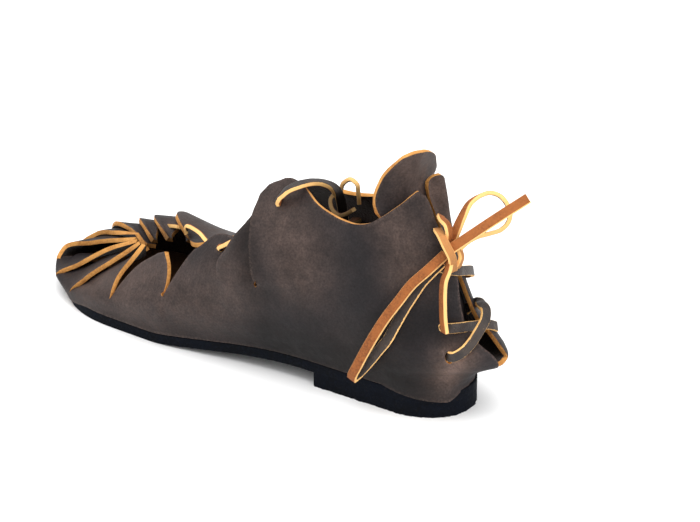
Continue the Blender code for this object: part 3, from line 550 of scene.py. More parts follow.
def stern_point(x, z, side):
    """Point of an ankle panel's outer side, drawn in to its edge at the back."""
    back, edge, power = [smooth(STERN["z"], STERN[SIDE[side] + column], z)
                         for column in ("_back", "_edge", "_full")]
    open_back = ramp(*STERN_OPENS, z)
    reach = (x - back) / (HEEL_ROUND + (STERN_LENGTH - HEEL_ROUND) * open_back)
    reach = np.clip(reach, 0, 1)
    heel = np.sqrt(1 - (1 - reach) ** 2)
    fill = heel + (np.sin(reach * math.pi / 2) ** power - heel) * open_back
    half = edge + (side_half(x, z, side) - edge) * fill
    if side < 0:
        x = x + smooth(STERN["z"], STERN["curl"], z) * ramp(*STERN_CURL, half)
    return np.stack([x, side * half, z], -1)


def row_levels(low, slit, top, slit_row, rows):
    """Heights of the rows as shares of the wall, with one row at the slit's end."""
    below = np.linspace(low, slit, slit_row + 1)
    above = np.linspace(slit, top, rows - slit_row)
    return (np.r_[below, above[1:]] - low) / (top - low)


def normals(grid, side):
    """Outward unit normals of a grid of points."""
    return -side * unit(np.cross(np.gradient(grid, axis=0), np.gradient(grid, axis=1)))


def above_slit(grid):
    """How far a lap is open at the points of a panel, 0 at its slit."""
    return ramp(WING_SLIT_Z, WING_SLIT_Z + LAP_RISE, grid[:, :, 2])


def ankle_panel(side, columns, rows):
    """Grid of an ankle panel: first index from the back edge to the wing's front edge."""
    name = SIDE[side]
    collar = LATERAL_COLLAR if side > 0 else MEDIAL_COLLAR
    slit_x = WING_SLIT_X[side]
    even = np.linspace(0, 1, columns)
    along = even ** BACK_CROWDING
    grid = np.empty((columns, rows, 3))
    back_rows = row_levels(foot_z(STERN_FOOT), BACK_SLIT_Z, collar["z"][0], BACK_SLIT_ROW, rows)
    front_rows = row_levels(foot_z(slit_x), WING_SLIT_Z, collar["z"][-1], WING_SLIT_ROW, rows)
    hang = np.clip((DROP_END - along) / (DROP_END - DROP_MIDDLE), 0, 1)
    hang = hang * ramp(DROP_START, DROP_MIDDLE, along)
    for i, a in enumerate(along):
        crowded = a if side > 0 else even[i] ** TONGUE_CROWDING
        top = smooth(collar["along"], collar["z"], crowded)
        if side < 0:
            behind = np.array([smooth(STERN["z"], STERN["medial_back"], top)])
            rim = stern_point(behind + crowded * (slit_x - behind), np.array([top]), side)
            short = max(TONGUE_ROUND + rim[0, 1] + STERN["medial_edge"][-1], 0)
            top -= TONGUE_ROUND - math.sqrt(TONGUE_ROUND ** 2 - short ** 2)
        share = (1 - a) * back_rows + a * front_rows
        low = foot_z(STERN_FOOT + a * (slit_x - STERN_FOOT))
        if side > 0:
            low -= HEEL_DROP * hang[i]
        z = low + share * (top - low)
        back = smooth(STERN["z"], STERN[name + "_back"], z)
        front = smooth(WING_EDGE["z"], WING_EDGE[name], z)
        x = back + (a + (crowded - a) * ramp(*TONGUE_RISE, z)) * (front - back)
        grid[i] = stern_point(x, z, side)
    lift = LAP * ramp(LAP_START, 1, along)
    if side > 0:
        lift = lift + EDGE_CURL * ramp(EDGE_CURL_START, 1, along)
    lift = lift[:, None] * above_slit(grid)
    if side > 0:
        turned_out = RIM_CURL * ramp(*RIM_CURL_STARTS, along) * ramp(*RIM_CURL_ENDS, along)
        lift = lift + turned_out[:, None] * ramp(RIM_BAND, 1, np.linspace(0, 1, rows))
        lift = lift + HEEL_SWELL * hang[:, None] * ramp(*SWELL_RISE, grid[:, :, 2])
    return grid + lift[..., None] * normals(grid, side)


def side_flap(edges, tops, slit_xs, slit_zs, slit_rows, columns, rows):
    """Grid of a lateral flap from its rear edge to its front edge, on the shoe's outer side."""
    grid = np.empty((columns, rows, 3))
    rear_rows, front_rows = [
        row_levels(foot_z(x), z, top, row, rows)
        for x, z, row, top in zip(slit_xs, slit_zs, slit_rows, (tops["z"][0], tops["z"][-1]))]
    for i, a in enumerate(np.linspace(0, 1, columns)):
        share = (1 - a) * rear_rows + a * front_rows
        low = foot_z(slit_xs[0] + a * (slit_xs[1] - slit_xs[0]))
        z = low + share * (smooth(tops["along"], tops["z"], a) - low)
        rear = smooth(edges["z"], edges["rear"], z)
        x = rear + a * (smooth(edges["z"], edges["front"], z) - rear)
        grid[i] = np.stack([x, side_half(x, z, 1), z], -1)
    return grid


def lapped(grid, rear_drop, front_lift):
    """A flap moved in under its rear and out over its front neighbour, above the slits."""
    along = np.linspace(0, 1, len(grid))
    step = front_lift * ramp(*LAP_FRONT, along) - rear_drop * (1 - ramp(*LAP_REAR, along))
    step = step[:, None] * above_slit(grid)
    return grid + step[..., None] * normals(grid, 1)


def middle_flap(columns, rows):
    grid = side_flap(MIDDLE_EDGE, MIDDLE_TOP, (WING_SLIT_X[1], MIDDLE_SLIT_X),
                     (WING_SLIT_Z, WING_SLIT_Z), (WING_SLIT_ROW, WING_SLIT_ROW), columns, rows)
    return lapped(grid, 1.5 * LAP, LAP)


def vamp_wing(columns, rows):
    grid = side_flap(VAMP_EDGE, VAMP_TOP, (MIDDLE_SLIT_X, VAMP_SLIT_X),
                     (WING_SLIT_Z, VAMP_SLIT_Z), (WING_SLIT_ROW, STRIP_SLIT_ROW), columns, rows)
    return lapped(grid, LAP, 0)


def bearing(point):
    """Direction of a point from the pivot inside the toe."""
    return math.atan2(point[1] - TOE_PIVOT[1], point[0] - TOE_PIVOT[0])


def edge_at(turn):
    """Foot of the upper in a given direction from the pivot."""
    way = np.array((math.cos(turn), math.sin(turn)))
    near, far = TOE_SEARCH
    for _ in range(30):
        r = (near + far) / 2
        x, y = TOE_PIVOT + r * way
        inside = 0 < x < LENGTH and outline(x, -1) < y < outline(x, 1)
        near, far = (r, far) if inside else (near, r)
    angle = math.degrees(turn)
    front = ramp(*TOE_LATERAL, angle) * ramp(*TOE_MEDIAL, angle)
    x, y = TOE_PIVOT + (near + TOE_OVERHANG * front) * way
    return np.array([x, y, foot_z(min(x, LENGTH)) - TOE_DROP * front])


def strip_edge(k, rows):
    """Raised first edge of strip k from the sole to its tip."""
    points = [np.array([STRIPS[place + axis][k] for axis in ("_x", "_y", "_z")])
              for place in ("slit", "low", "high", "tip")]
    foot = edge_at(bearing(points[0]))
    if k == 0:
        foot = np.array([VAMP_SLIT_X, outline(VAMP_SLIT_X, 1), foot_z(VAMP_SLIT_X)])
    points.insert(0, foot)
    length = chords(points)
    return through(points, row_levels(0, length[1] / length[-1], 1, STRIP_SLIT_ROW, rows))


def tucked(k, rows):
    """Second edge of the strip before strip k: it runs under the first edge of strip k."""
    edge = strip_edge(k, rows)
    axis_x = np.clip(edge[:, 0] - TOE_AXIS_BACK, *TOE_AXIS)
    out = unit(edge - np.stack([axis_x, np.full(rows, TOE_PIVOT[1]), np.zeros(rows)], -1))
    v = np.clip((np.arange(rows) - STRIP_SLIT_ROW) / (rows - 1 - STRIP_SLIT_ROW), 0, 1)
    deep = STRIPS["drop"][k]
    drop = deep * ramp(0, max(STRIP_DROP_SHORTEST / deep, STRIP_DROP_SLOPE * deep), v)
    if k < LATERAL_STRIPS:
        drop = drop + (STRIP_DROP_TIP - deep) * ramp(STRIP_DROP_TIP_START, 1, v)
    return edge - drop[:, None] * out


def base_line(start, end, columns):
    """Points on the sole's edge between two strips' feet."""
    turns = np.linspace(bearing(start), bearing(end), columns)
    return [start] + [edge_at(turn) for turn in turns[1:-1]] + [end]


def strip_panel(k, columns, rows):
    """One toe strip between its raised first edge and its tucked second edge."""
    first = strip_edge(k, rows)
    second = tucked(k + 1, rows)
    if k == 0:
        tab = np.vstack([second[STRIP_SLIT_ROW], TAB_FRONT])
        free = through(tab, np.linspace(0, 1, rows - STRIP_SLIT_ROW))
        second = np.vstack([second[:STRIP_SLIT_ROW + 1], free[1:]])
    base = base_line(first[0], second[0], columns)
    grid = np.empty((columns, rows, 3))
    fall = np.clip(1 - np.arange(rows) / (rows * STRIP_FOOT), 0, 1)
    up = np.arange(rows) / (rows - 1)
    pointed = STRIP_POINT * ramp(STRIP_POINT_START, 1, up) if k > LATERAL_STRIPS else 0 * up
    for i, across in enumerate(np.linspace(0, 1, columns)):
        u = across * (1 - pointed)[:, None]
        straight = (1 - u) * first + u * second
        grid[i] = straight + (base[i] - straight[0])[None] * fall[:, None]
        if k >= LATERAL_STRIPS:
            lip = ramp(0, STRIP_LIP_WIDTH, across) * ramp(*STRIP_LIP_RISE, up)
            grid[i] -= lip[:, None] * STRIP_LIP
    return grid


def medial_vamp(columns, rows):
    """Medial vamp wing: it reaches over the instep, its rear lapped under the ankle wing."""
    sections = [strip_edge(len(STRIPS["slit_x"]) - 1, rows)]
    front_share = np.linspace(0, 1, rows)
    rear_share = np.interp(np.arange(rows), (0, WING_SLIT_ROW, rows - 1), (0, VAMP_SLIT_SHARE, 1))
    for row in zip(*MEDIAL_VAMP.values()):
        x, side_y, side_z, shoulder_y, shoulder_z, end_x, end_y, end_z = row
        a = (MEDIAL_SLIT_X - x) / (MEDIAL_SLIT_X - WING_SLIT_X[-1])
        points = [(x, outline(x, -1), foot_z(x)), (x, side_y, side_z),
                  ((x + end_x) / 2, shoulder_y, shoulder_z), (end_x, end_y, end_z)]
        sections.append(through(points, (1 - a) * front_share + a * rear_share))
    sections = np.array(sections)[::-1]
    where = np.r_[MEDIAL_SLIT_X, MEDIAL_VAMP["x"]][::-1]
    x = np.linspace(MEDIAL_SLIT_X, WING_SLIT_X[-1], columns)
    grid = np.empty((columns, rows, 3))
    for j in range(rows):
        for c in range(3):
            grid[:, j, c] = smooth(where, sections[:, j, c], x)
    behind = np.linspace(0, 1, columns)
    groove = ramp(0, VAMP_GROOVE[0], behind) * ramp(*VAMP_GROOVE[::-1], behind)
    return grid - (groove[:, None] * ramp(*STRIP_LIP_RISE, front_share))[..., None] * STRIP_LIP


def upper_panels():
    """All panels in order from the lateral back edge round the toe to the medial back edge."""
    count = len(STRIPS["slit_x"]) - 1
    panels = [ankle_panel(1, columns=110, rows=ANKLE_ROWS),
              middle_flap(columns=30, rows=STRIP_ROWS), vamp_wing(columns=36, rows=STRIP_ROWS)]
    panels += [strip_panel(k, columns=22 if k < 2 else 17, rows=STRIP_ROWS) for k in range(count)]
    panels += [medial_vamp(columns=64, rows=STRIP_ROWS),
               ankle_panel(-1, columns=140, rows=ANKLE_ROWS)[::-1]]
    slit_rows = [WING_SLIT_ROW] * 2 + [STRIP_SLIT_ROW] * (count + 1) + [WING_SLIT_ROW]
    for k, last in enumerate(slit_rows):
        a, b = panels[k][-1, :last + 1], panels[k + 1][0, :last + 1]
        shared = (a + b) / 2
        if k == 0:
            shared = a.copy()
        elif k == len(slit_rows) - 1:
            shared = b.copy()
        a[:] = shared
        b[:] = shared
    lateral, medial = panels[0][0, :BACK_SLIT_ROW + 1], panels[-1][-1, :BACK_SLIT_ROW + 1]
    middle = (lateral + medial) / 2
    middle[:, 1] = 0
    lateral[:] = middle
    medial[:] = middle
    return panels


# soft troughs (negative) and ridges pressed into the leather: depth, width and line of each
CREASES = (
    (-1.6, 13, ((66, 34, 86), (62, 36, 60), (58, 35, 36))),
    (-1.4, 6, ((3, 22, 47), (-1, 22, 40), (1, 24, 34))),
    (1.0, 12, ((90, 36, 84), (92, 38, 66))),
    (-0.8, 8, ((24, 25, 92), (14, 22, 74), (12, 24, 56))),
)

# lace holes and punched slit ends: middle, direction of the longer way, half length, half width
PUNCH_REACH = 20.0        # faces farther from a hole's middle are left alone
PUNCH_DEPTH = 3.0
HOLES = (
    ((102.2, 23.9, 96.3), (0.3, 0.2, -1), 2.3, 1.4),
    ((134.8, 30.8, 64), (1, 0.2, 0.3), 2.6, 1.7),
    ((-0.8, 21.8, 39.2), (0.2, 0, 1), 3.1, 2.0),
    ((4.6, 17.6, 52.2), (0.1, 0, 1), 3.0, 1.8),
    ((165.2, 42.2, 33.2), (0, 0, 1), 1.5, 1.3),
    ((105.6, 40.2, 54.6), (0, 0, 1), 1.5, 1.3),
)


def stored(tree, name):
    """Value kept under a name at the points of the mesh."""
    return wire(tree, "ShaderNodeAttribute", {}, attribute_name=name).outputs["Fac"]


def times(tree, first, second):
    return wire(tree, "ShaderNodeMath", {0: first, 1: second}, operation="MULTIPLY").outputs[0]


def tint(tree, shader, colour, value):
    """Base colour, made lighter or darker by a value."""
    toned = wire(tree, "ShaderNodeHueSaturation", {"Color": colour, "Value": value})
    tree.links.new(toned.outputs[0], shader.inputs["Base Color"])


def leather_materials():
    """Grain side, flesh side and cut edge of the same hide."""
    grain, tree, shader = new_material("oiled grain", roughness=0.6, specular=0.17)
    place = object_place(tree)
    broad = spots(tree, place, 22, 3, 0.3, 0.72)
    mottle = spots(tree, place, 210, 5, 0.28, 0.74)
    fine = spots(tree, place, 900, 3, 0.32, 0.68)
    clouds = spots(tree, place, 70, 3, 0.32, 0.68)
    pebble = wire(tree, "ShaderNodeTexVoronoi", {"Vector": place, "Scale": 1100},
                  feature="SMOOTH_F1")
    # lighter grain where the oiled leather is pulled up and where light is painted on lit faces
    pull_and_light = stored(tree, "pull_up_and_painted_light")
    colour = blend(tree, broad, GRAIN_DARK, GRAIN_BROWN)
    for share in (times(tree, pull_and_light, spread(tree, mottle, 0.62, 1.0)),
                  times(tree, stored(tree, "edge_rub"), fine)):
        colour = blend(tree, share, colour, GRAIN_PULLED_AND_LIT)
    speck = wire(tree, "ShaderNodeMath", {0: mottle, 1: 0.6, 2: fine}, operation="MULTIPLY_ADD")
    shade = spread(tree, speck.outputs[0], 0.62, 1.4, end=1.6)
    # random clouds; the lighter-grain value above 1 brightens further as a painted highlight on
    # the rear outer corner; the painted shade darkens the grain
    for factor in (spread(tree, clouds, 0.8, 1.2), spread(tree, pull_and_light, 1.0, 1.6, 1.0, 1.6),
                   spread(tree, stored(tree, "painted_shade"), 1.0, 0.22)):
        shade = times(tree, shade, factor)
    tint(tree, shader, colour, shade)
    tree.links.new(spread(tree, mottle, 0.5, 0.7), shader.inputs["Roughness"])
    relief(tree, shader, (pebble.outputs["Distance"], 0.00012, 0.35), (mottle, 0.0005, 0.25))

    # flesh side coloured almost black: painted shade for the inside of the shoe
    flesh, tree, shader = new_material("flesh side", roughness=0.95, specular=0.15)
    place = object_place(tree)
    fuzz = spots(tree, place, 700, 6, 0.3, 0.7)
    patch = spots(tree, place, 60, 4, 0.35, 0.7)
    colour = blend(tree, patch, FLESH_SHADED_BROWN, FLESH_SHADED_DARK)
    tree.links.new(blend(tree, fuzz, colour, FLESH_SHADED_BROWN), shader.inputs["Base Color"])
    shader.inputs["Sheen Weight"].default_value = 0.15
    relief(tree, shader, (fuzz, 0.0004, 0.6))

    edge, tree, shader = new_material("raw cut edge", roughness=0.85, specular=0.2)
    place = object_place(tree)
    fibre = spots(tree, place, 900, 5, 0.3, 0.7)
    burnt = spots(tree, place, 90, 4, 0.36, 0.64)
    colour = blend(tree, fibre, blend(tree, burnt, EDGE_TAN, EDGE_BURNT), EDGE_TAN)
    # cut edges darkened by the painted shade
    tint(tree, shader, colour, spread(tree, stored(tree, "painted_shade"), 1.0, 0.08))
    relief(tree, shader, (fibre, 0.0004, 0.6))
    return [grain, flesh, edge]


def open_sheet(name, panels, materials):
    """Outer surface of a leather piece, its panels joined where they share an edge."""
    faces = []
    start = 0
    for grid in panels:
        columns, rows = grid.shape[:2]
        for i in range(columns - 1):
            for j in range(rows - 1):
                a = start + i * rows + j
                faces.append((a, a + 1, a + rows + 1, a + rows))
        start += columns * rows
    points = np.vstack([grid.reshape(-1, 3) for grid in panels])
    return add_piece(name, points, faces, materials,
                     lambda bm: bmesh.ops.remove_doubles(bm, verts=bm.verts, dist=2e-6))


def points_of(mesh):
    """Points of a mesh in millimetres."""
    out = np.empty(len(mesh.vertices) * 3)
    mesh.vertices.foreach_get("co", out)
    return out.reshape(-1, 3) / MM + [HEEL_CENTRE, 0, 0]


def to_line(points, line):
    """Distance of each point from a polyline."""
    best = np.full(len(points), 1e9)
    for a, b in zip(line, line[1:]):
        ab = b - a
        t = np.clip((points - a) @ ab / (ab @ ab), 0, 1)
        best = np.minimum(best, np.linalg.norm(points - a - t[:, None] * ab, axis=1))
    return best


def bands(points, lines):
    """Strength at each point of every soft band, given by strength, width and line."""
    return [strength * np.exp(-(to_line(points, np.array(line, float)) / width) ** 2)
            for strength, width, line in lines]


def press_creases(obj, creases):
    """Moves the surface along its normals by the listed troughs and ridges."""
    mesh = obj.data
    points = points_of(mesh)
    normal = np.array([v.normal for v in mesh.vertices])
    move = sum(bands(points, creases))
    mesh.vertices.foreach_set("co", in_frame(points + move[:, None] * normal).ravel())
    mesh.update()


def punch(obj, holes):
    """Cuts lace holes through the open sheet and rounds their rims."""
    bm = bmesh.new()
    bm.from_mesh(obj.data)
    bm.normal_update()
    for middle, across, length, width in holes:
        aim = in_frame(middle)
        near = min(bm.verts, key=lambda v: sum((v.co[i] - aim[i]) ** 2 for i in range(3)))
        centre = np.array(near.co)
        n = np.array(near.normal)
        u = np.array(across, float)
        u = unit(u - (u @ n) * n)
        w = np.cross(n, u)

        def place(co):
            d = (np.array(co) - centre) / MM
            return d @ u / length, d @ w / width, d @ n

        gone = []
        for f in bm.faces:
            c = f.calc_center_median()
            if sum(abs(c[i] - centre[i]) for i in range(3)) < PUNCH_REACH * MM:
                p, q, h = place(c)
                if p * p + q * q < 1 and abs(h) < PUNCH_DEPTH:
                    gone.append(f)
        rim = {v for f in gone for v in f.verts}
        bmesh.ops.delete(bm, geom=gone, context="FACES")
        for v in rim:
            if v.is_valid and v.link_faces:
                p, q, h = place(v.co)
                r = math.hypot(p, q)
                v.co = centre + MM * (u * p / r * length + w * q / r * width + n * h)
    bm.to_mesh(obj.data)
    bm.free()


def mark_wear_and_light(obj, pulled_and_lit, darkened=()):
    """Stores where the grain is rubbed along cut edges, where it is lighter from pull-up and
    painted light, and where painted shade darkens it.
    """
    mesh = obj.data
    bm = bmesh.new()
    bm.from_mesh(mesh)
    rim = [v.co.copy() for v in bm.verts if v.is_boundary]
    bm.free()
    tree = KDTree(len(rim))
    for i, co in enumerate(rim):
        tree.insert(co, i)
    tree.balance()
    reach = np.array([tree.find(v.co)[2] for v in mesh.vertices]) / MM
    points = points_of(mesh)
    none = np.zeros(len(points))
    for name, amount in (("edge_rub", np.exp(-(reach / RUB_WIDTH) ** 2) * RUB_STRENGTH),
                         ("pull_up_and_painted_light", np.max([none] + bands(points, pulled_and_lit), axis=0)),
                         ("painted_shade", np.max([none] + bands(points, darkened), axis=0))):
        mesh.attributes.new(name, "FLOAT", "POINT").data.foreach_set("value", amount)


def thicken(obj, thickness):
    """Gives an open sheet its thickness inwards, with broken corners along the cut edges."""
    thick = obj.modifiers.new("hide", "SOLIDIFY")
    thick.thickness = thickness * MM
    thick.offset = -1
    thick.use_rim = True
    thick.use_quality_normals = True
    thick.material_offset = 1
    thick.material_offset_rim = 2
    corner = obj.modifiers.new("corner", "BEVEL")
    corner.width = EDGE_ROUND * MM
    corner.segments = 2
    corner.limit_method = "ANGLE"
    corner.angle_limit = math.radians(EDGE_ANGLE)
    corner.material = 2
    return made_plain(obj)


# where the grain is lighter, partly pulled-up oiled leather and partly painted light on the faces
# the lamps catch, with a painted highlight on the rear outer corner (strength above 1): strength,
# width and the line it follows
PULLED_AND_LIT = (
    (0.66, 19, ((104, 25, 94), (89, 32, 82), (82, 35, 68))),
    (0.55, 22, ((120, 38, 52), (141, 41, 36), (165, 40, 30), (195, 38, 24))),
    (0.70, 16, ((195, 38, 24), (228, 34, 20))),
    (0.65, 14, ((170, 37, 38), (186, 33, 34))),
    (0.70, 13, ((34, 19, 100), (27, 20, 91), (24, 22, 80))),
    (1.40, 10, ((-4, 20.5, 37), (2, 19, 25))),
    (0.60, 10, ((0, 20, 29), (5, 17, 18))),
    (0.90, 16, ((24, -6, 112), (22, -8, 100))),
    (0.50, 20, ((160, -20, 52), (200, -20, 44))),
)

# painted shade: grain darkened low on the outer side and round the heel, beside the ankle wing's
# front edge and at the tips of the inner toe strips: strength, width and the line it follows
PAINTED_SHADE_LINES = (
    (0.80, 17, ((20, 28, 22), (60, 33, 22), (100, 35, 22))),
    (0.50, 9, ((14, 27, 26), (22, 29, 34))),
    (0.45, 12, ((14, 20, 52), (30, 28, 40), (60, 33, 34))),
    (0.85, 6.5, ((206, 0, 37.5), (195, 1, 41.5), (180, 2, 45))),
    (0.50, 8, ((108, 41, 50), (112, 38, 66), (118, 33, 82))),
)

hide = leather_materials()
upper = open_sheet("leather_upper", upper_panels(), hide)
press_creases(upper, CREASES)
punch(upper, HOLES)
mark_wear_and_light(upper, PULLED_AND_LIT, PAINTED_SHADE_LINES)
thicken(upper, LEATHER)
stands_for(upper, "upper_leather", "upper")

# Heel flap: a rounded leaf of the same leather that stands inside the back of the ankle panels
# and covers the laced opening from within. Its top stands above the collar.
FLAP_THICK = 2.4
FLAP_SWEEP = 69.0         # degrees to each side
# lighter top of the flap: pulled-up grain and painted light
FLAP_PULLED_AND_LIT = ((0.8, 18, ((32, 4, 128), (34, -6, 118))),)

# back, half widths and depths by height
FLAP = table(
    ("z", "back", "lateral_half", "medial_half", "lateral_depth", "medial_depth"),
    (16, 8, 19.5, 19.5, 24, 24),
    (30, 6.5, 22, 22, 24, 24),
    (50, 7, 21, 18.6, 24, 24),
    (64, 11, 19.6, 15.6, 24, 24),
    (75, 16, 17, 14, 24, 24),
    (87, 21.8, 15.6, 13.6, 24, 24),
    (100, 27.8, 16.2, 15.6, 25, 21),
    (110, 32.4, 17.3, 21.2, 26, 12.5),
    (120, 33.4, 19, 25, 24.5, 3.5),
    (128, 31.5, 19.3, 25, 24, 2),
    (136, 29.5, 18, 22, 23, 1.5))
FLAP_LIP = 5.4            # how far its outer rim curls out
LIP_LOW = 88.0
LIP_HIGH = 106.0
LIP_START = 0.62          # share of the outer half behind the curl
LIP_WAY = np.array((-0.5, 0.85, 0.1))

# height of its rim from the medial edge (-1) to the lateral edge (1)
FLAP_RIM = table(
    ("share", "z"),
    (-1, 96), (-0.85, 108), (-0.7, 117.5), (-0.5, 125.5), (-0.25, 130.8), (0, 133.4),
    (0.25, 134.3), (0.5, 133), (0.7, 127), (0.86, 117.5), (0.95, 111), (1, 104))


def flap_grid(columns, rows):
    low = foot_z(HEEL_CENTRE) + INSOLE_THICK + GAP
    grid = np.empty((columns, rows, 3))
    shares = np.linspace(-1, 1, columns)
    for i, share in enumerate(shares):
        z = np.linspace(low, smooth(FLAP_RIM["share"], FLAP_RIM["z"], share), rows)
        side = "lateral" if share > 0 else "medial"
        turn = math.radians(FLAP_SWEEP * share)
        depth = smooth(FLAP["z"], FLAP[side + "_depth"], z)
        half = smooth(FLAP["z"], FLAP[side + "_half"], z)
        x = smooth(FLAP["z"], FLAP["back"], z) + depth * (1 - math.cos(turn))
        grid[i] = np.stack([x, half * math.sin(turn), z], -1)
    curl = FLAP_LIP * (np.clip(shares - LIP_START, 0, 1) / (1 - LIP_START)) ** 2
    curl = curl[:, None] * ramp(LIP_LOW, LIP_HIGH, grid[:, :, 2])
    return grid + curl[..., None] * LIP_WAY


flap = open_sheet("leather_heel_flap", [flap_grid(columns=81, rows=80)], hide)
mark_wear_and_light(flap, FLAP_PULLED_AND_LIT)
thicken(flap, FLAP_THICK)
stands_for(flap, "upper_leather", "heel_flap")

# Heel lacing: one flat thong laced across the open back through holes in both ankle panels,
# dark grain on its outer side and raw tan on its flesh side and cut edges.
THONG_WIDTH = 5.0
THONG_THICK = 2.2
THONG_CORNER = 0.45
GRAIN_SKIN = 0.1          # depth of the dark grain at a cut edge, and how far it frays
GRAIN_BLUR = 0.02
GRAIN_FRAY = 0.22
FLESH_SKIN = 0.3          # depth over which a cut edge turns into the flesh side
FLESH_BLUR = 0.05
THONG_GRAIN = (0.0240, 0.0195, 0.0190, 1)
THONG_GRAIN_LIGHT = (0.0500, 0.0370, 0.0310, 1)
THONG_FLESH = (0.3500, 0.1120, 0.0270, 1)
THONG_FLESH_DARK = (0.1400, 0.0440, 0.0140, 1)
THONG_EDGE = (0.9300, 0.5500, 0.2000, 1)
HEEL_AXIS_X = 32.0        # the heel is rounded about an upright line here
HEEL_SLOPE = 0.35         # and its surface leans by this much
DIAGONAL_LEAN = -24

# top bar, from inside the outer panel over the gap and round the inner panel's edge
TOP_BAR = (
    (12.5, 9.5, 82), (9, 13, 81.6), (6.2, 12.2, 81.3), (3.6, 9.5, 80.4), (3.8, 3, 77.8),
    (5, -4, 74.8), (7, -9.5, 71.6), (9.8, -12.4, 69), (14, -12.2, 67.4), (17, -10, 67))

# long diagonal, out through the inner panel, over the middle bar and into the outer panel
DIAGONAL = (
    (12, -11.5, 47.5), (8, -14, 51.5), (2.7, -9.8, 55.4), (-3.4, -3.2, 58.6), (-8.8, 1.4, 58.9),
    (-11.2, 5.6, 56.4), (-10.8, 10, 52), (-9.2, 13.6, 46.8), (-7.4, 18, 43), (-4.6, 21.4, 40.6),
    (-0.6, 20.4, 38.8), (4, 15, 38.2))

# middle bar, under the diagonal
MIDDLE_BAR = (
    (8, 13, 51.8), (4.4, 18, 52.2), (1.6, 17.6, 52.6), (-1.6, 14.4, 52.6), (-3, 9, 51.4),
    (-3.2, 2.5, 49.2), (-4.6, -5, 47.4), (-5.8, -10, 45), (-5.6, -13.2, 42.8), (-1.6, -14.4, 41),
    (3, -12, 40.4))


def thong_material():
    """Grain, flesh and edges of a thong told apart by the place in its cross-section."""
    mat, tree, shader = new_material("flat thong", roughness=0.75, specular=0.3)
    place = object_place(tree)
    profile = wire(tree, "ShaderNodeAttribute", {}, attribute_name="profile").outputs["Vector"]
    height = wire(tree, "ShaderNodeSeparateXYZ", {"Vector": profile}).outputs["Y"]
    fuzz = spots(tree, place, 900, 5, 0.3, 0.7)
    patch = spots(tree, place, 110, 4, 0.32, 0.62)
    ragged = wire(tree, "ShaderNodeMath", {0: fuzz, 1: GRAIN_FRAY * MM, 2: height},
                  operation="MULTIPLY_ADD").outputs[0]
    half = THONG_THICK / 2
    grain = spread(tree, ragged, 0.0, 1.0, (half - GRAIN_SKIN) * MM, (half + GRAIN_BLUR) * MM)
    flesh = spread(tree, height, 0.0, 1.0, (FLESH_SKIN - half) * MM, (FLESH_BLUR - half) * MM)
    top = blend(tree, patch, THONG_GRAIN, THONG_GRAIN_LIGHT)
    under = blend(tree, fuzz, blend(tree, patch, THONG_FLESH, THONG_FLESH_DARK), THONG_FLESH)
    colour = blend(tree, grain, blend(tree, flesh, THONG_EDGE, under), top)
    # darkened by the painted shade stored on the thong
    tint(tree, shader, colour, spread(tree, stored(tree, "painted_shade"), 1.0, 0.1))
    tree.links.new(spread(tree, grain, 0.85, 0.5), shader.inputs["Roughness"])
    relief(tree, shader, (fuzz, 0.0003, 0.5))
    return mat


def thong_tree():
    """Node tree that sweeps a flat section with rounded corners along a line."""
    tree = bpy.data.node_groups.new("flat thong", "GeometryNodeTree")
    for name, kind in (("Line", "Geometry"), ("Width", "Float"), ("Thickness", "Float"),
                       ("Corner", "Float"), ("Leather", "Material")):
        tree.interface.new_socket(name, in_out="INPUT", socket_type="NodeSocket" + kind)
    tree.interface.new_socket("Thong", in_out="OUTPUT", socket_type="NodeSocketGeometry")
    given = tree.nodes.new("NodeGroupInput").outputs
    across = wire(tree, "GeometryNodeInputNamedAttribute", {"Name": "across"},
                  data_type="FLOAT_VECTOR").outputs["Attribute"]
    line = wire(tree, "GeometryNodeMeshToCurve", {"Mesh": given["Line"]}).outputs[0]
    line = wire(tree, "GeometryNodeSetCurveNormal", {"Curve": line, "Normal": across}, mode="FREE")
    section = wire(tree, "GeometryNodeCurvePrimitiveQuadrilateral",
                   {"Width": given["Width"], "Height": given["Thickness"]}).outputs[0]
    section = wire(tree, "GeometryNodeFilletCurve", mode="POLY", inputs={
        "Curve": section, "Count": 3, "Radius": given["Corner"]}).outputs[0]
    spot = wire(tree, "GeometryNodeInputPosition", {}).outputs[0]
    section = wire(tree, "GeometryNodeStoreNamedAttribute", data_type="FLOAT_VECTOR", inputs={
        "Geometry": section, "Name": "profile", "Value": spot}).outputs[0]
    swept = wire(tree, "GeometryNodeCurveToMesh", {
        "Curve": line.outputs[0], "Profile Curve": section, "Fill Caps": True}).outputs[0]
    solid = wire(tree, "GeometryNodeRealizeInstances", {"Geometry": swept}).outputs[0]
    solid = wire(tree, "GeometryNodeSetMaterial", {
        "Geometry": solid, "Material": given["Leather"]})
    wire(tree, "NodeGroupOutput", {"Thong": solid.outputs[0]})
    return tree


thong_sweep = thong_tree()
thong_leather = thong_material()


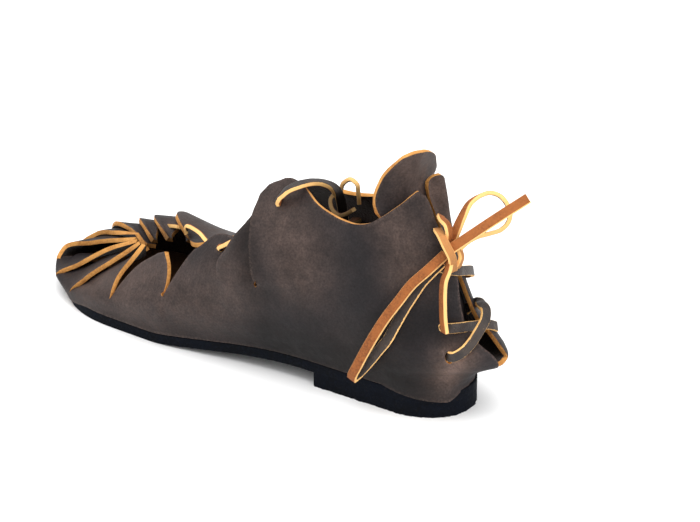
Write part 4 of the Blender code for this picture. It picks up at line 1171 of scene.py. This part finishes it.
def add_thong(name, centres, across, width=THONG_WIDTH, thick=THONG_THICK, darkened=0.0):
    """Flat thong along a path in millimetres; across is the direction of its width."""
    count = len(centres)
    tangent = unit(np.gradient(centres, axis=0))
    across = np.broadcast_to(across, (count, 3))
    across = unit(across - (across * tangent).sum(1, keepdims=True) * tangent)
    mesh = bpy.data.meshes.new(name)
    mesh.from_pydata(in_frame(centres).tolist(), [(i, i + 1) for i in range(count - 1)], [])
    ways = mesh.attributes.new("across", "FLOAT_VECTOR", "POINT")
    ways.data.foreach_set("vector", across.ravel())
    obj = linked(name, mesh)
    sweep = obj.modifiers.new("sweep", "NODES")
    sweep.node_group = thong_sweep
    sizes = {"Width": width * MM, "Thickness": thick * MM, "Corner": THONG_CORNER * MM,
             "Leather": thong_leather}
    for item in thong_sweep.interface.items_tree:
        if item.name in sizes:
            sweep[item.identifier] = sizes[item.name]
    made_plain(obj)
    obj.data.shade_smooth()
    # painted shade along the thong where it runs inside the shoe or under the strips
    dark = np.repeat(np.broadcast_to(darkened, count), len(obj.data.vertices) // count)
    obj.data.attributes.new("painted_shade", "FLOAT", "POINT").data.foreach_set("value", dark)
    return obj


def along_path(path, count):
    """Points spread evenly along the rounded path through rows of x, y and z."""
    return through(np.array(path, float)[:, :3], np.linspace(0, 1, count))


def with_path(path, count):
    """What a path's rows say after x, y and z, spread evenly along the path."""
    path = np.array(path, float)
    chord = chords(path[:, :3])
    share = np.linspace(0, chord[-1], count)
    return np.stack([np.interp(share, chord, column) for column in path[:, 3:].T], -1)


def round_heel_across(centres):
    """Width directions that turn a thong's grain outwards from the rounded heel."""
    out = centres - [HEEL_AXIS_X, 0, 0]
    out[:, 2] = HEEL_SLOPE * np.linalg.norm(out[:, :2], axis=1)
    return np.cross(out, np.gradient(centres, axis=0))


# out from the rear outer corner, where the bow is tied
TOWARDS_CORNER = np.array((-0.53, 0.73, 0.44))


def turned(centres, lean, grain=False):
    """Width directions that show flesh or grain at the rear corner, turned by degrees."""
    tangent = unit(np.gradient(centres, axis=0))
    angle = np.radians(np.broadcast_to(lean, len(centres)))[:, None]
    side = np.cross(tangent, TOWARDS_CORNER) * (-1 if grain else 1)
    return np.cos(angle) * side + np.sin(angle) * TOWARDS_CORNER


def joined(name, parts):
    """Several thong pieces made one object."""
    bm = bmesh.new()
    for part in parts:
        bm.from_mesh(part.data)
    mesh = bpy.data.meshes.new(name)
    bm.to_mesh(mesh)
    bm.free()
    mesh.materials.append(thong_leather)
    mesh.shade_smooth()
    for part in parts:
        bpy.data.objects.remove(part)
    return linked(name, mesh)


top_line = along_path(TOP_BAR, 90)
diagonal_line = along_path(DIAGONAL, 120)
heel_lacing = joined("thong_heel_lacing", [
    add_thong("top_bar", top_line, round_heel_across(top_line)),
    add_thong("diagonal", diagonal_line, turned(diagonal_line, DIAGONAL_LEAN, grain=True))])
stands_for(heel_lacing, "thong_leather", "heel_lacing")
bar_line = along_path(MIDDLE_BAR, 90)
heel_bar = add_thong("thong_heel_bar", bar_line, round_heel_across(bar_line))
stands_for(heel_bar, "thong_leather", "heel_bar")

# Instep thongs: the same flat thong draws the toe gather to the vamp wing, and another one
# bridges the two ankle wings at the front of the collar.
NARROW = 3.0              # width where the thong is drawn tight
LACE_WIDTH = 3.6
HITCH_WIDTH = 4.0
BRIDGE_THICK = 2.5
# painted shade on the tail inside the collar, on the lace under the strips and on the bridge
# inside the shoe
TAIL_PAINTED_SHADE = 0.88
UNDER_PAINTED_SHADE = 0.3
BRIDGE_PAINTED_SHADE = 0.92 * ramp(0.5, 0.62, np.linspace(0, 1, 90))    # dark where it goes inside

# from the outer wing over the instep to the inner side, with the direction of its width
ANKLE_PATH = (
    (103.5, 18, 92, 0.53, -0.73, -0.44), (102, 24, 96.2, 0.53, -0.73, -0.44),
    (98.4, 26.2, 101.2, 0.6, -0.7, -0.4), (94.6, 25.6, 105.4, 0.8, -0.5, -0.2),
    (91.6, 22, 107.2, 0.9, -0.3, 0), (89.6, 16.5, 107.2, 1, -0.2, 0),
    (88.2, 9.5, 105.4, 1, -0.2, 0.1), (86.8, 3.4, 102.4, 0.8, -0.5, 0.25),
    (85.6, -1.2, 98.6, 0.2, -0.7, 0.4), (85.4, -5, 93.2, -0.4, -0.75, 0.3),
    (86.2, -8.5, 85, -0.65, -0.7, 0.2), (87.5, -12.5, 75, -0.8, -0.4, 0.2),
    (90, -20, 70.5, -0.9, -0.3, 0.3), (92, -29.5, 69, -0.95, -0.3, 0.1))

# tail inside the collar, and the hitch on the medial wing
INNER_TAIL = (
    (90.5, -9, 92.5), (91, -5.5, 90.2), (88, -1.5, 88.2), (82.5, 2.5, 87.4), (77, 5, 88.4),
    (72.5, 6, 91), (68, 6.5, 94.6))
MEDIAL_HITCH = (
    (97.5, -22, 86), (93, -20, 93.5), (87.5, -19, 96.5), (84.5, -19, 95), (84.5, -20, 91),
    (86.5, -23.5, 83))

# lace under the last strips, over the throat to the vamp wing, and its stitch through the wing
VAMP_UNDER = (
    (215, -15, 37), (209, -13, 39.4), (203, -10, 42), (198, -7.8, 44), (193.4, -5.8, 45.6))
VAMP_PATH = (
    (185, -1.6, 46), (184.8, -1.4, 48.6), (183.4, -0.7, 50.4), (179, 1.6, 52.2), (174.5, 4, 53.2),
    (166, 9, 54.6), (159.5, 13, 54.6), (152.5, 17, 54))
VAMP_STITCH = (
    (136, 26.5, 61.5), (134.6, 31.3, 64.3), (129.4, 33.4, 68.2), (124.5, 33, 71.6),
    (119, 30.5, 74))

ankle_line = along_path(ANKLE_PATH, 90)
tail_line = along_path(INNER_TAIL, 60)
hitch_line = along_path(MEDIAL_HITCH, 60)
ankle_thong = joined("thong_ankle", [
    add_thong("instep_bridge", ankle_line, with_path(ANKLE_PATH, 90), thick=BRIDGE_THICK,
              darkened=BRIDGE_PAINTED_SHADE),
    add_thong("inner_tail", tail_line, TOWARDS_CORNER, width=NARROW, darkened=TAIL_PAINTED_SHADE),
    add_thong("medial_hitch", hitch_line, TOWARDS_CORNER, width=HITCH_WIDTH)])
stands_for(ankle_thong, "thong_leather", "ankle_thong")
under_line = along_path(VAMP_UNDER, 40)
vamp_line = along_path(VAMP_PATH, 90)
stitch_line = along_path(VAMP_STITCH, 50)
vamp_thong = joined("thong_vamp", [
    add_thong("lace_under_strip", under_line, TOWARDS_CORNER, width=NARROW, darkened=UNDER_PAINTED_SHADE),
    add_thong("throat_lace", vamp_line, TOWARDS_CORNER, width=LACE_WIDTH),
    add_thong("wing_stitch", stitch_line, TOWARDS_CORNER, width=LACE_WIDTH)])
stands_for(vamp_thong, "thong_leather", "vamp_thong")

# Bow: the lacing's two ends are tied at the outer rear corner in a knot with a long hanging
# loop, a round standing loop and two loose ends. The thong is stiff enough to hold its shape.
# Leans are in degrees out of the plane that faces the rear corner.
OVER_LEAN = 24
NECK_LEAN = 52
RING_LEAN = 60
UPPER_END_LEAN = 18
LOWER_END_LEAN = -66
OVER_WIDTH = 4.2
NECK_WIDTH = 4.0
RING_WIDTH = 3.4
KNOT_THICK = 2.0
LOOP_FLAT = 0.95          # shares of the long loop's width along and out from the corner's plane
LOOP_EDGEWISE = 0.31

# long loop, down the outer side and back up to the knot
LOWER_LOOP = (
    (6.6, 15, 90.5), (12, 22, 83), (18, 27, 75.5), (23, 31, 66.5), (28, 34.6, 57.5),
    (32.4, 36.8, 48.6), (37.8, 38, 37.6), (42.6, 38.2, 27.6), (46.6, 37, 20), (47.8, 35, 17.4),
    (46.6, 32.6, 19), (43.4, 32.6, 23), (39.5, 33, 28), (33.2, 33.2, 37), (28.6, 32.2, 44),
    (25.6, 30.8, 51), (23.4, 28.8, 57), (21.4, 26.4, 62.5), (19, 24.2, 68), (15.6, 21.4, 75.2),
    (12, 18.4, 80.6), (8.6, 14.6, 85.4))

# round loop: x, y, z and lean
UPPER_LOOP = (
    (7, 10, 94.5, 30), (5.4, 8, 100.6, 40), (4.4, 4, 107.3, 55), (4, -2, 112.5, 75),
    (1.5, -7, 115, 90), (-2, -10, 116.4, 90), (-6.5, -12, 115.2, 90), (-10.5, -12, 112.2, 90),
    (-13.4, -11, 108.4, 90), (-14, -8.5, 104.6, 90), (-12.5, -5, 101.6, 90), (-8.5, -1, 99.8, 90),
    (-4.2, 3, 98.6, 95), (-1, 7, 97, 110), (2.4, 10.6, 93, 120))

# loose ends, and the three strands of the knot
UPPER_END = ((4.5, 16.5, 93.3), (-4.7, 10.5, 101.9), (-14.5, 0.7, 111), (-24.6, -9, 120))
LOWER_END = (
    (4.6, 14, 88.6), (2.6, 18.2, 84.6), (3.2, 20.6, 79.6), (3.7, 20.8, 73.5), (3.6, 20.8, 65.5),
    (3.1, 20.8, 57.5), (2.2, 20.8, 51.5))
KNOT_OVER = (
    (15.5, 9, 99), (9.4, 15, 100), (4, 18.6, 97.4), (1, 18.2, 92.4), (2, 15, 86), (4.6, 11, 80.5))
KNOT_NECK = ((18, 3, 103), (12.6, 9, 105), (7.6, 12, 104), (6, 13, 101), (7, 12, 95))
KNOT_RING = ((6, 8, 94), (1.6, 11, 93.6), (-0.6, 12, 90.6), (0.8, 11, 86), (4.6, 9, 81))


def free_thong(name, node, centres, across):
    """Loop or end of the bow, a cord that leaves the knot at the first point of its path."""
    piece = add_thong(name, centres, across)
    stands_for(piece, "thong_leather", node)


over_line = along_path(KNOT_OVER, 60)
neck_line = along_path(KNOT_NECK, 40)
ring_line = along_path(KNOT_RING, 40)
knot = joined("thong_knot", [
    add_thong("over_strand", over_line, turned(over_line, OVER_LEAN), OVER_WIDTH, KNOT_THICK),
    add_thong("neck_strand", neck_line, turned(neck_line, NECK_LEAN), NECK_WIDTH),
    add_thong("ring_strand", ring_line, turned(ring_line, RING_LEAN), RING_WIDTH, KNOT_THICK)])
stands_for(knot, "thong_leather", "bow_knot")

loop_line = along_path(LOWER_LOOP, 150)
down = loop_line[len(loop_line) // 2] - loop_line[0]
loop_across = LOOP_FLAT * np.cross(unit(down), TOWARDS_CORNER) - LOOP_EDGEWISE * TOWARDS_CORNER
free_thong("thong_bow_loop_lower", "bow_loop_lower", loop_line, loop_across)
loop_line = along_path(UPPER_LOOP, 110)
lean = with_path(UPPER_LOOP, 110)[:, 0]
free_thong("thong_bow_loop_upper", "bow_loop_upper", loop_line, turned(loop_line, lean))
end_line = along_path(UPPER_END, 50)
free_thong("thong_bow_end_upper", "bow_end_upper", end_line, turned(end_line, UPPER_END_LEAN))
end_line = along_path(LOWER_END, 50)
free_thong("thong_bow_end_lower", "bow_end_lower", end_line, turned(end_line, LOWER_END_LEAN))

# Studio: a plain white paper floor under soft light from above, from the side and from behind.
# The shoe is seen from behind and above its outer side.
FLOOR_HALF = 15.0
FLOOR_WHITE = (0.97, 0.97, 0.97, 1)
CAMERA_PLACE = (-0.6330, 0.9132, 0.6099)
CAMERA_FORWARD = (0.5313, -0.7263, -0.4362)
CAMERA_LENS = 126.78

floor_mesh = bpy.data.meshes.new("floor")
corners = [(x * FLOOR_HALF, y * FLOOR_HALF, 0) for x, y in ((-1, -1), (1, -1), (1, 1), (-1, 1))]
floor_mesh.from_pydata(corners, [], [(0, 1, 2, 3)])
floor = linked("floor", floor_mesh)
paper, _, shader = new_material("white paper", roughness=0.9, specular=0.1)
shader.inputs["Base Color"].default_value = FLOOR_WHITE
floor_mesh.materials.append(paper)


def aimed(obj, place, direction):
    obj.location = place
    obj.rotation_euler = Vector(direction).to_track_quat("-Z", "Y").to_euler()


def soft_light(name, place, aim, size, power):
    lamp = bpy.data.lights.new(name, "AREA")
    lamp.shape = "RECTANGLE"
    lamp.size, lamp.size_y = size
    lamp.energy = power
    aimed(linked(name, lamp), place, np.array(aim, float) - np.array(place, float))


soft_light("overhead", place=(0.1, 0.1, 1.4), aim=(0.1, 0, 0), size=(1.8, 1.4), power=22)
soft_light("window", place=(0.9, 0.9, 0.9), aim=(0.1, 0, 0.05), size=(0.9, 0.9), power=4)
soft_light("behind", place=(-1.1, 0.1, 0.9), aim=(-0.02, 0, 0.05), size=(0.9, 0.9), power=8)

world = bpy.data.worlds.new("studio")
world.use_nodes = True
sky = world.node_tree.nodes["Background"]
sky.inputs["Color"].default_value = (1, 1, 1, 1)
sky.inputs["Strength"].default_value = 0.75
bpy.context.scene.world = world
bpy.context.scene.view_settings.view_transform = "Standard"

camera_data = bpy.data.cameras.new("camera")
camera_data.lens = CAMERA_LENS
camera_data.sensor_width = 36
camera_data.clip_end = 50
camera = linked("camera", camera_data)
aimed(camera, CAMERA_PLACE, CAMERA_FORWARD)
bpy.context.scene.camera = camera
